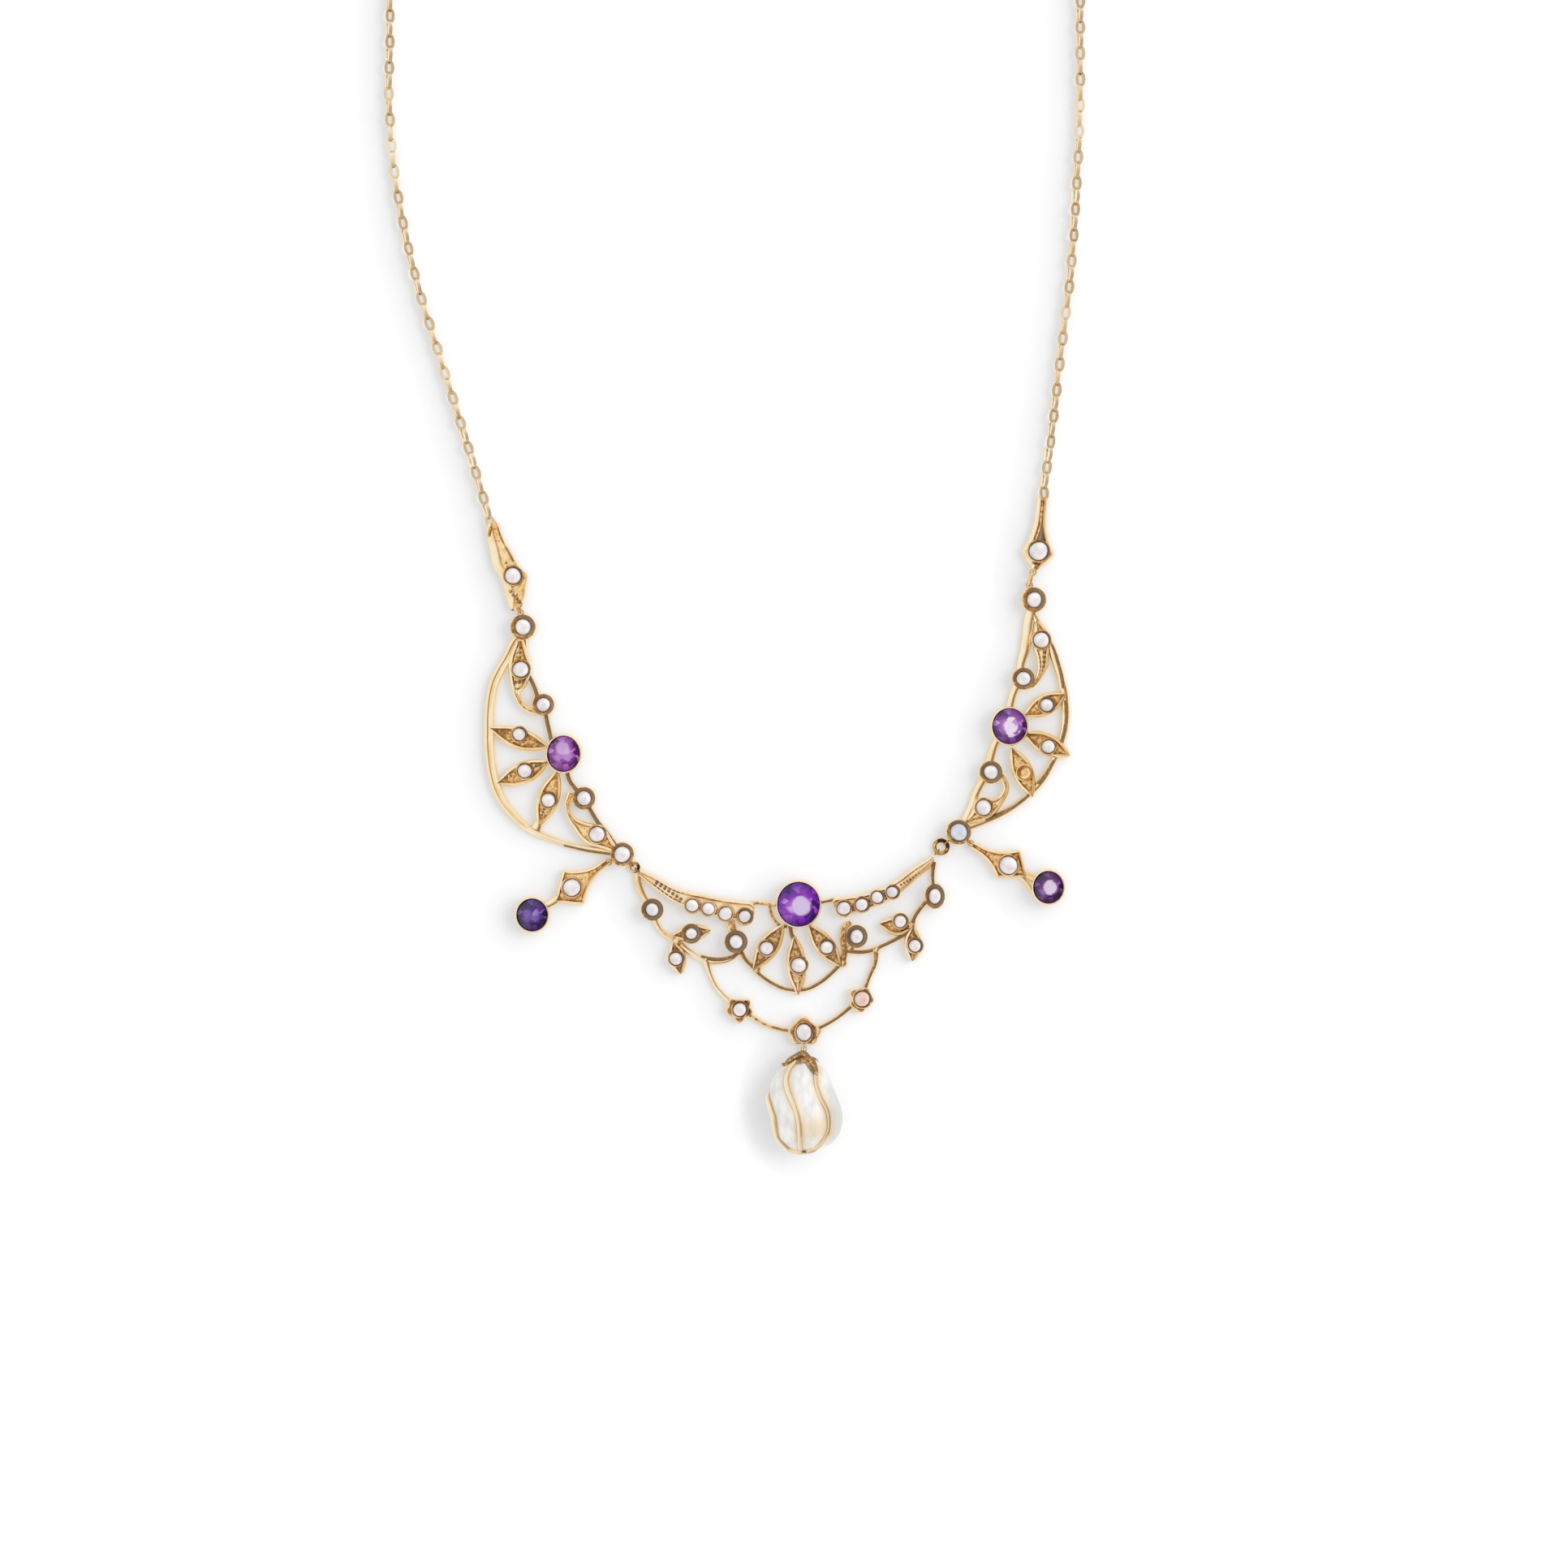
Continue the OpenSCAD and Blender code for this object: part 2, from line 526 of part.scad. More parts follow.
// The sunk floor of each leaf, a rim's width inside its outline
module leaf_floors(list)
    for (l = list) {
        root = flat(l[ROOT]);
        tip = flat(l[TIP]);
        inset = unit(tip - root) * leaf_rim * 2.2;
        translate([0, 0, leaf_h - leaf_sink])
            linear_extrude(leaf_h)
                leaf_outline(root + inset, tip - inset, l[SPREAD] - 2 * leaf_rim);
    }

// A leaf holds its pearl lower than a round cup does
function pearl_height(p) = p[SEAT] == "cup" ? pearl_z : pearl_z - leaf_drop;
function rim_height(p) = p[SEAT] == "cup" ? cup_h : cup_h - leaf_rim_drop;
function cup_r(p) = p[PR] + seat_gap + (len(p) > WALL ? p[WALL] : cup_wall);

module cups(list)
    for (p = list) translate(place(p)) cylinder(h = rim_height(p), r = cup_r(p));

// The hollow of each cup, with a floor just under its pearl
module cup_hollows(list)
    for (p = list)
        translate(place(p) + [0, 0, pearl_height(p) - p[PR] - seat_gap])
            cylinder(h = cup_h, r = p[PR] + seat_gap);

// The wall of each cup that stands inside a leaf, where the leaf's floor was sunk
module leaf_cups(list)
    for (p = list)
        if (p[SEAT] == "leaf")
            difference() {
                cups([p]);
                cup_hollows([p]);
            }

module pearls(list)
    color(white)
        for (p = list) translate(place(p) + [0, 0, pearl_height(p)]) sphere(p[PR]);

// A stone's holder: a plain wall with a ledge under the widest part of the stone
module holder(s)
    translate(place(s)) cylinder(h = girdle_z + holder_lip, r = s[PR] + seat_gap + cup_wall);
module holder_hollow(s)
    translate(place(s)) {
        translate([0, 0, girdle_z - ledge_depth])
            cylinder(h = girdle_z, r = s[PR] + seat_gap);
        translate([0, 0, -1]) cylinder(h = girdle_z + 1, r = s[PR] * hole_share);
    }

// A round stone: a table, a sloping crown, a thin girdle and a pointed pavilion
module stone(s)
    color(purple)
        translate(place(s))
            rotate_extrude()
                polygon([
                    [0, girdle_z - pavilion_h], [s[PR], girdle_z - girdle_h], [s[PR], girdle_z],
                    [s[PR] * table_share, girdle_z + crown_h], [0, girdle_z + crown_h],
                ]);

// A small wire ring that stands upright, square to the direction from one plan point to another
module upright_ring(middle, facing, r, wire_r, z) {
    way = flat(facing) - flat(middle);
    translate([flat(middle).x, flat(middle).y, z])
        rotate([0, 0, atan2(way.y, way.x)])
            rotate([90, 0, 0])
                rotate_extrude() translate([r, 0]) circle(wire_r, $fn = small_sides);
}
// A flat eye with a tab that ties it to a plan point inside its part
module flat_eye(p, tied_to, z, hole_r)
    translate([0, 0, z - flat_eye_h / 2])
        difference() {
            linear_extrude(flat_eye_h) {
                translate(flat(p)) circle(hole_r + flat_eye_rim);
                polygon(strip([[p.x, p.y, tab_w], [tied_to.x, tied_to.y, tab_w]]));
            }
            translate(plan([p.x, p.y, -1])) cylinder(h = flat_eye_h + 2, r = hole_r);
        }
// Radius of the upright eye that a ring's wire passes through, and the height of its middle
function eye_round(ring) = ring[RING_WIRE] + eye_wire_r + loop_gap;
function ring_height(ring) = eye_round(ring) + eye_wire_r + floor_gap;

// Chain and clasp

module chain(route) {
    line = smooth([for (p = route) plan(p)], chain_steps);
    color(gold)
        tube([for (p = line) [p.x, p.y, max(p.z, chain_z)]], chain_w / 2, chain_sides);
}
module clasp()
    color(gold)
        translate(plan([clasp_place.x, clasp_place.y, barrel_d / 2]))
            rotate([0, 90, 0]) {
                cylinder(h = barrel_length, r = barrel_d / 2, center = true);
                cylinder(h = clasp_length, r = collar_r, center = true);
            }

// Terminals, each a kite with one pearl, and the links below them

module kite(outline, pearl, bow)
    difference() {
        union() {
            linear_extrude(leaf_h) polygon(bowed(outline, bow));
            cups([pearl]);
        }
        cup_hollows([pearl]);
    }
module terminal_left()
    color(gold) {
        kite(terminal_left_outline, terminal_left_pearl, terminal_left_bow);
        wires([terminal_left_tail, terminal_left_tongue], wire_h);
        link_eye(link_left, 0, [63.7, 73.8]);
    }
module terminal_right()
    color(gold) {
        kite(terminal_right_outline, terminal_right_pearl, kite_bow);
        link_eye(link_right, 0, [127.4, 69.6]);
    }
function link_height(link) = norm(link[1] - link[0]) / 2 + link[LINK_WIRE] + floor_gap;
module link_eye(link, end, tied_to)
    flat_eye(link[end], tied_to, link_height(link), link[LINK_WIRE] + flat_eye_clear);
module terminal_link(link)
    color(gold)
        upright_ring(
            (link[0] + link[1]) / 2, link[1],
            norm(link[1] - link[0]) / 2, link[LINK_WIRE], link_height(link)
        );

// Crescents, each soldered up from wires, leaves and cups round one stone

module crescent(routes, leaf_list, pearl_list, s) {
    difference() {
        union() {
            wires(routes, wire_h);
            leaves(leaf_list);
            cups(pearl_list);
            holder(s);
        }
        leaf_floors(leaf_list);
        cup_hollows(pearl_list);
        holder_hollow(s);
    }
    leaf_cups(pearl_list);
}
module crescent_left()
    color(gold) {
        crescent(left_wires, left_leaves, left_pearls, stones[LEFT]);
        link_eye(link_left, 1, [64.2, 76.1]);
        ring_eye(left_pearls[JUNCTION_LEFT], ring_left);
        side_eye(left_pearls[JUNCTION_LEFT], side_left_towards);
    }
module crescent_right()
    color(gold) {
        crescent(right_wires, right_leaves, concat(right_pearls, [bare_cup]), stones[RIGHT]);
        link_eye(link_right, 1, [127.1, 73]);
        wires([right_eye_wire], wire_h);
        ring_eye(right_pearls[JUNCTION_RIGHT], ring_right);
        side_eye(right_pearls[JUNCTION_RIGHT], side_right_towards);
    }
// The upright eye on a cup's wall through which a jump ring passes
module ring_eye(cup, ring) {
    middle = [cup[PX], cup[PY]];
    reach = norm([ring.x, ring.y] - middle) - ring[RING_R];
    upright_ring(
        towards(middle, ring, reach), ring, eye_round(ring), eye_wire_r, ring_height(ring)
    );
}
// The upright eye on a cup's wall from which a side drop hangs, and the place of the drop's own
function eye_reach(cup) = cup_r(cup) + eye_standoff;
module side_eye(cup, facing)
    upright_ring(
        towards([cup[PX], cup[PY]], facing, eye_reach(cup)),
        facing, plain_eye_r, eye_wire_r, plain_eye_z
    );
function hook_place(cup, facing) =
    towards([cup[PX], cup[PY]], facing, eye_reach(cup) + plain_eye_r);

// Flat jump rings between the crescents and the centre panel

module jump_ring(ring)
    color(gold)
        translate(plan([ring.x, ring.y, ring_height(ring)]))
            rotate_extrude()
                translate([ring[RING_R], 0]) circle(ring[RING_WIRE], $fn = small_sides);

// Side drops, each a kite with a pearl and a stone below it

module side_drop(outline, pearl, s, necks, hook)
    color(gold) {
        difference() {
            union() {
                linear_extrude(leaf_h) polygon(bowed(outline, kite_bow));
                cups([pearl]);
                wires(necks, wire_h);
                holder(s);
            }
            cup_hollows([pearl]);
            holder_hollow(s);
        }
        flat_eye(
            hook, (outline[0] + outline[len(outline) - 1]) / 2, plain_eye_z, plain_hole_r
        );
    }

// Centre panel: bars, festoons, fan and swag, soldered up round the largest stone

module centre_panel()
    color(gold) {
        all_pearls = concat(centre_pearls, bar_left_pearls, bar_right_pearls);
        difference() {
            union() {
                wires(centre_wires, wire_h);
                wires(swag_wires, wire_h);
                wires(bar_wires, leaf_h);
                leaves(centre_leaves);
                for (s = [star_left, star_middle, star_right])
                    linear_extrude(leaf_h) polygon(bowed(s, star_bow));
                cups(all_pearls);
                holder(stones[CENTRE]);
            }
            leaf_floors(centre_leaves);
            cup_hollows(all_pearls);
            holder_hollow(stones[CENTRE]);
        }
        leaf_cups(centre_pearls);
        panel_eye(ring_left, panel_left_tip);
        panel_eye(ring_right, panel_right_tip);
        upright_ring(star_eye, drop_eye, plain_eye_r, eye_wire_r, plain_eye_z);
    }
// The upright eye through which a jump ring passes, on the panel's side of the ring
module panel_eye(ring, tip)
    upright_ring(
        towards([ring.x, ring.y], tip, ring[RING_R]),
        tip, eye_round(ring), eye_wire_r, ring_height(ring)
    );

// Main drop and its wire cage

module drop_body()
    color(white)
        polyhedron(
            [for (row = drop_sections) each section_ring(row)],
            tube_faces(len(drop_sections), drop_sides), convexity = 4
        );
module cap() {
    last = len(cap_rows) - 1;
    points = concat(
        section_ring(cap_top),
        [for (i = [0 : last]) each lifted_ring(cap_rows[i], cap_gap + cap_wall)],
        [for (i = [last : -1 : 0]) each lifted_ring(cap_rows[i], cap_gap)],
        section_ring(cap_inside)
    );
    polyhedron(points, tube_faces(2 * len(cap_rows) + 2, drop_sides), convexity = 4);
}
module drop_cage()
    color(gold) {
        cap();
        for (route = cage_routes)
            tube(
                [for (p = smooth(route, cage_steps)) over_drop(p, cage_r + cage_gap)],
                cage_r, cage_sides
            );
        translate(plan(cage_foot)) sphere(foot_r);
        flat_eye(drop_eye, drop_eye + [0, 0.35], plain_eye_z, plain_hole_r);
        hull() {
            translate(plan([drop_eye.x, drop_eye.y + 0.4, plain_eye_z]))
                cylinder(h = flat_eye_h, r = stalk_r, center = true, $fn = small_sides);
            translate(plan([drop_eye.x, cap_inside[0] - 0.2, 2]))
                sphere(stalk_r, $fn = small_sides);
        }
    }

chain(chain_left_route);  // chain_left
chain(chain_right_route);  // chain_right
clasp();
terminal_left();
terminal_right();
terminal_link(link_left);  // terminal_link_left
terminal_link(link_right);  // terminal_link_right
crescent_left();
crescent_right();
jump_ring(ring_left);  // jump_ring_left
jump_ring(ring_right);  // jump_ring_right
side_drop(  // side_drop_left
        side_left_outline, side_left_pearl, stones[SIDE_LEFT], side_left_necks,
        hook_place(left_pearls[JUNCTION_LEFT], side_left_towards)
    );
side_drop(  // side_drop_right
        side_right_outline, side_right_pearl, stones[SIDE_RIGHT], side_right_necks,
        hook_place(right_pearls[JUNCTION_RIGHT], side_right_towards)
    );
centre_panel();
drop_cage();
drop_body();
pearls(bar_left_pearls);  // bar_pearls_left
pearls(bar_right_pearls);  // bar_pearls_right
for (s = stones) stone(s);
for (p = single_pearls) pearls([p]);
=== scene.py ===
import math

import bpy
import numpy as np
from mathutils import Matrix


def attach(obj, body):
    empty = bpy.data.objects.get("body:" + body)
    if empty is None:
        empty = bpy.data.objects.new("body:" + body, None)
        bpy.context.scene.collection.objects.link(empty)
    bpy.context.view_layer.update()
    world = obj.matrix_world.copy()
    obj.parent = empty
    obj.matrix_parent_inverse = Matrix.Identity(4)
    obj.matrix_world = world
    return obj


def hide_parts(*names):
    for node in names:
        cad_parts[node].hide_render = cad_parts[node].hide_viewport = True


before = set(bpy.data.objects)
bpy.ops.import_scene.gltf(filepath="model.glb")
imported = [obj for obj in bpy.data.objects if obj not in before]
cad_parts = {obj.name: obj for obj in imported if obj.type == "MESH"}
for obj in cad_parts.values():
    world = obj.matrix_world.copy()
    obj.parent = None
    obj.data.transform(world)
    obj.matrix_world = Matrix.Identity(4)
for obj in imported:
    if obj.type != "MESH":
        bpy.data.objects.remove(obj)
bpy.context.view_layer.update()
print("frame loaded:", len(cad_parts), "nodes")

# Plan places stand on the drawing sheet of the part, in millimetres, x to the right and y down it
sheet = {"middleX": 90.5, "middleY": 44.1, "mm": 0.001}
chance = np.random.default_rng(7)


# Sheet place to frame millimetres: x less the sheet's middle, and the sheet's middle less y
def plan(places):
    rows = np.array(places, float)
    rows[..., 0] -= sheet["middleX"]
    rows[..., 1] = sheet["middleY"] - rows[..., 1]
    return rows


# Vectors divided by their own lengths
def unit(vectors):
    return vectors / np.maximum(np.linalg.norm(vectors, axis=-1, keepdims=True), 1e-9)


# Angles evenly spaced round a full turn
def roundTurns(count):
    return np.linspace(0, 2 * np.pi, count, endpoint=False)


# Power of a cosine or sine that keeps its sign, which makes a circle a little square
def squared(wave, power):
    return np.sign(wave) * np.abs(wave) ** power


# Points of a unit ball at tilts from its top and turns round it
def ballAt(tilt, turn):
    return np.stack([np.sin(tilt) * np.cos(turn), np.sin(tilt) * np.sin(turn),
                     np.cos(tilt) * np.ones_like(turn)], -1)


# Smooth curve through every row of a route: in each span four neighbouring rows are blended by
# the cubic weights of the share t of the span that is passed
def curveThrough(route, steps):
    rows = np.array(route, float)
    padded = np.vstack([rows[:1], rows, rows[-1:]])
    t = np.arange(steps)[:, None] / steps
    weights = 0.5 * np.hstack([
        -t + 2 * t**2 - t**3, 2 - 5 * t**2 + 3 * t**3, t + 4 * t**2 - 3 * t**3, t**3 - t**2,
    ])
    spans = np.stack([padded[i:i + len(rows) - 1] for i in range(4)], axis=1)
    line = np.einsum("sk,nkc->nsc", weights, spans).reshape(-1, rows.shape[1])
    return np.vstack([line, rows[-1:]])


# Skin over grids of points: each cell joins four neighbours, the columns close into rings, and
# the rows close into a loop or end in poles at the means of the end rings. The first axis may
# hold many equal items. Faces are turned over if the enclosed volume comes out negative.
def skin(points, grime=0.0, loop=False):
    points = points.reshape((-1,) + points.shape[-3:])
    items, rows, cols = points.shape[:3]
    grid = np.arange(rows * cols).reshape(rows, cols)
    ringed = np.vstack([grid, grid[:1]]) if loop else grid
    low, high = ringed[:-1], ringed[1:]
    quads = np.stack([low, np.roll(low, -1, 1), np.roll(high, -1, 1), high], -1).reshape(-1, 4)
    tris = np.zeros((0, 3), int)
    places = points.reshape(items, -1, 3)
    marks = np.broadcast_to(grime, (items, rows, cols)).reshape(items, -1)
    if not loop:
        ends = np.stack([points[:, 0].mean(1), points[:, -1].mean(1)], 1)
        places = np.concatenate([places, ends], 1)
        endMarks = [marks[:, :cols].mean(1), marks[:, -cols:].mean(1)]
        marks = np.concatenate([marks, np.stack(endMarks, 1)], 1)
        pole = np.full(cols, rows * cols)
        tris = np.vstack([
            np.stack([pole, np.roll(grid[0], -1), grid[0]], 1),
            np.stack([pole + 1, grid[-1], np.roll(grid[-1], -1)], 1),
        ])
    corners = places[0][np.vstack([quads[:, :3], quads[:, [0, 2, 3]], tris])]
    volume = np.einsum("nc,nc->", corners[:, 0], np.cross(corners[:, 1], corners[:, 2]))
    if volume < 0:
        quads, tris = quads[:, ::-1], tris[:, ::-1]
    shift = (np.arange(items) * places.shape[1])[:, None, None]
    return (
        places.reshape(-1, 3), (quads + shift).reshape(-1, 4), (tris + shift).reshape(-1, 3),
        marks.reshape(-1),
    )


# One mesh from several skins, with their grime and painted shade as a point attribute, in metres.
# It takes the place of one node, and is called after it and its own kind.
def makePiece(node, kind, skins, material, smooth=True, crease=38):
    name = node + "_" + kind
    places = np.vstack([s[0] for s in skins])
    shifts = np.cumsum([0] + [len(s[0]) for s in skins[:-1]])
    quads = np.vstack([s[1] + n for s, n in zip(skins, shifts)])
    tris = np.vstack([s[2] + n for s, n in zip(skins, shifts)])
    mesh = bpy.data.meshes.new(name)
    mesh.from_pydata((places * sheet["mm"]).tolist(), [], quads.tolist() + tris.tolist())
    marks = mesh.attributes.new("grime", "FLOAT", "POINT")
    marks.data.foreach_set("value", np.concatenate([s[3] for s in skins]).astype(np.float32))
    if smooth:
        mesh.shade_smooth()
        mesh.set_sharp_from_angle(angle=math.radians(crease))
    mesh.materials.append(material)
    piece = bpy.data.objects.new(name, mesh)
    bpy.context.scene.collection.objects.link(piece)
    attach(piece, "root")
    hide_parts(node)


# sRGB hex to linear colour: a dark channel is divided by 12.92, and a lighter one is raised to the
# power of 2.4 after its offset is taken out
def linear(colour):
    parts = [int(colour[i:i + 2], 16) / 255 for i in (1, 3, 5)]
    return [p / 12.92 if p <= 0.04045 else ((p + 0.055) / 1.055) ** 2.4 for p in parts] + [1.0]


# Fills a node's inputs, each with a value or with another node's output
def fill(tree, node, inputs):
    for key, value in inputs.items():
        if isinstance(value, bpy.types.NodeSocket):
            tree.links.new(value, node.inputs[key])
        else:
            node.inputs[key].default_value = value


# Adds a node with its settings and links. "stops" fills a ramp with positions and hex colours.
def addNode(tree, kind, inputs=None, **settings):
    node = tree.nodes.new("ShaderNode" + kind)
    for key, value in settings.items():
        if key == "stops":
            elements = node.color_ramp.elements
            while len(elements) < len(value):
                elements.new(0.5)
            for element, (position, colour) in zip(elements, value):
                element.position = position
                element.color = linear(colour)
        else:
            setattr(node, key, value)
    fill(tree, node, inputs or {})
    return node


# The four limits of a Map Range node as its inputs: from low, from high, to low, to high
def limits(values):
    return dict(enumerate(values, 1))


# Noise scale for a pattern whose patches are so many millimetres across: one over that in metres
def perMetre(size):
    return 1 / (size * sheet["mm"])


# New material, its tree and its shader, with what is the same all over on the shader's sockets
def newMaterial(name, sockets):
    material = bpy.data.materials.new(name)
    material.use_nodes = True
    tree = material.node_tree
    shader = tree.nodes["Principled BSDF"]
    fill(tree, shader, sockets)
    return material, tree, shader


# Yellow gold of low carat, cast and soldered, polished and then worn: smooth cream highlights,
# warm sides and brown tarnish that has gathered in every hollow and joint, with painted shade
# where the walls meet the paper
goldLook = {
    # Sizes in millimetres of the tarnish's patches and flecks, of the casting's ripples, of the
    # crevices that stay brown by tarnish and painted shade, and of the ripples' depth
    "patch": 2.2, "fleck": 0.42, "ripple": 0.7, "crevice": 0.32, "depth": 0.014,
    "patchLimits": (0.35, 0.65), "fleckLimits": (0.4, 0.66, -0.12, 0.44),
    "dirtAndShadeLimits": (0.12, 0.4, 0.08, 1.0), "hollowLimits": (0.9, 0.2, 0.0, 0.25),
    # Where the pale, clean, warm, brown and dark tones stand on the scale of grime and painted
    # shade
    "stops": (0.0, 0.14, 0.38, 0.6, 0.85), "roughest": 0.62, "bump": 0.6, "samples": 6,
}


# Its tone is the attribute of grime and painted shade, plus flecks that grow with it, plus slow
# patches and crevices, which are browned by tarnish and by painted shade
def polishedGold(name, tones, start=0.0, drift=0.1, gloss=0.22):
    material, tree, shader = newMaterial(name, {"Metallic": 1.0})
    place = addNode(tree, "TexCoord").outputs["Object"]
    # This attribute carries tarnish and painted shade together
    mark = addNode(tree, "Attribute", attribute_name="grime").outputs["Fac"]
    patches, flecks, ripples = [
        addNode(tree, "TexNoise", {
            "Vector": place, "Scale": perMetre(goldLook[size]), "Detail": detail}).outputs["Fac"]
        for size, detail in (("patch", 2.0), ("fleck", 2.0), ("ripple", 1.0))]
    patches = addNode(tree, "MapRange", {"Value": patches, **limits(
        goldLook["patchLimits"] + (start - drift, start + drift))}).outputs[0]
    flecks = addNode(tree, "MapRange", {
        "Value": flecks, **limits(goldLook["fleckLimits"])}).outputs[0]
    dirtAndShade = addNode(tree, "MapRange", {"Value": mark, **limits(goldLook["dirtAndShadeLimits"])}).outputs[0]
    # Ambient occlusion browns the crevices as tarnish, and darkens the walls where they meet the
    # paper as painted shade
    openness = addNode(tree, "AmbientOcclusion", {"Distance": goldLook["crevice"] * sheet["mm"]},
                       samples=goldLook["samples"]).outputs["AO"]
    hollow = addNode(tree, "MapRange", {
        "Value": openness, **limits(goldLook["hollowLimits"])}).outputs[0]
    total = addNode(tree, "Math", {0: flecks, 1: dirtAndShade, 2: mark},
                    operation="MULTIPLY_ADD").outputs[0]
    for more in (patches, hollow):
        total = addNode(tree, "Math", {0: total, 1: more}, operation="ADD").outputs[0]
    colour = addNode(tree, "ValToRGB", {"Fac": total},
                     stops=list(zip(goldLook["stops"], tones))).outputs["Color"]
    far = addNode(tree, "Math", {0: total}, operation="ABSOLUTE").outputs[0]
    rough = addNode(tree, "MapRange", {
        "Value": far, **limits((0.0, 1.0, gloss, goldLook["roughest"]))}).outputs[0]
    bumps = addNode(tree, "Bump", {"Height": ripples, "Strength": goldLook["bump"],
                                   "Distance": goldLook["depth"] * sheet["mm"]}).outputs[0]
    fill(tree, shader, {"Base Color": colour, "Roughness": rough, "Normal": bumps})
    return material


goldYellow = polishedGold(
    "polished_gold", ("#FCEFD6", "#F9E3B8", "#EFC88C", "#C09258", "#A49078"))
goldRosy = polishedGold(
    "polished_gold_rosy", ("#FBEFDC", "#F6E1BE", "#E6C394", "#B18B5E", "#A08C76"), 0.02)
goldTarnished = polishedGold(
    "tarnished_gold", ("#F6E6C6", "#EBCF9C", "#CFA56A", "#8A6236", "#54391E"), 0.04)
goldChain = polishedGold(
    "drawn_gold_wire", ("#FFF9EA", "#FFF1D8", "#FDE6BE", "#E8CDA0", "#A8926E"), -0.2, 0.03, 0.6)


# Natural seed pearl, nacre over a round heart: white, with a painted grey reflection on its crown,
# a soft gloss, and a brown edge of old dirt and painted shade between it and its cup
pearlLook = {"cloud": 1.1, "clouds": (0.35, 0.75), "soilAndShade": "#8E7358", "bump": 0.3, "depth": 0.02,
             "shader": {"Roughness": 0.32, "IOR": 1.53, "Coat Weight": 0.5,
                        "Coat Roughness": 0.12}}


# Its colour drifts from body to shade by slow clouds, then goes to the shade by the painted crown
# reflection and to brown by the dirt and painted shade, which are the two signs of the grime
# attribute
def seedPearl(name, body, shade):
    material, tree, shader = newMaterial(name, pearlLook["shader"])
    place = addNode(tree, "TexCoord").outputs["Object"]
    mark = addNode(tree, "Attribute", attribute_name="grime").outputs["Fac"]
    clouds = addNode(tree, "TexNoise", {
        "Vector": place, "Scale": perMetre(pearlLook["cloud"]), "Detail": 3.0}).outputs["Fac"]
    nacre = addNode(tree, "ValToRGB", {"Fac": clouds},
                    stops=list(zip(pearlLook["clouds"], (body, shade)))).outputs["Color"]
    crownReflection = addNode(tree, "Math", {0: mark, 1: -1.0}, operation="MULTIPLY",
                   use_clamp=True).outputs[0]
    for share, colour in ((crownReflection, shade), (mark, pearlLook["soilAndShade"])):
        nacre = addNode(tree, "Mix", {0: share, 6: nacre, 7: linear(colour)}, data_type="RGBA",
                        clamp_factor=True).outputs[2]
    bumps = addNode(tree, "Bump", {"Height": clouds, "Strength": pearlLook["bump"],
                                   "Distance": pearlLook["depth"] * sheet["mm"]}).outputs[0]
    fill(tree, shader, {"Base Color": nacre, "Normal": bumps})
    return material


pearlWhite = seedPearl("seed_pearl_white", "#F8F3F0", "#D3CCD0")
pearlBlue = seedPearl("seed_pearl_bluish", "#E0E3EC", "#B7BDD0")
pearlPink = seedPearl("seed_pearl_pinkish", "#F1DCCF", "#D6AE9B")


# Amethyst, cut as a round brilliant and polished: clear violet, with the reflections of its inner
# facets painted as dark and bright cells, and a pale window painted in the middle where the light
# passes straight through
glassLook = {
    # How uneven the cells of painted facet reflections are, how the rim is darkened by painted
    # shade, the middle of the tones, and how softly the painted window ends outwards and inwards,
    # in radii of the stone
    "uneven": 0.9, "rimShadeLimits": (0.4, 1.0, 0.0, 0.4), "level": 0.6, "soft": (0.08, 0.06),
    "shader": {"Roughness": 0.06, "IOR": 1.544, "Specular IOR Level": 0.35,
               "Transmission Weight": 0.25, "Coat Weight": 0.25, "Coat Roughness": 0.02},
}
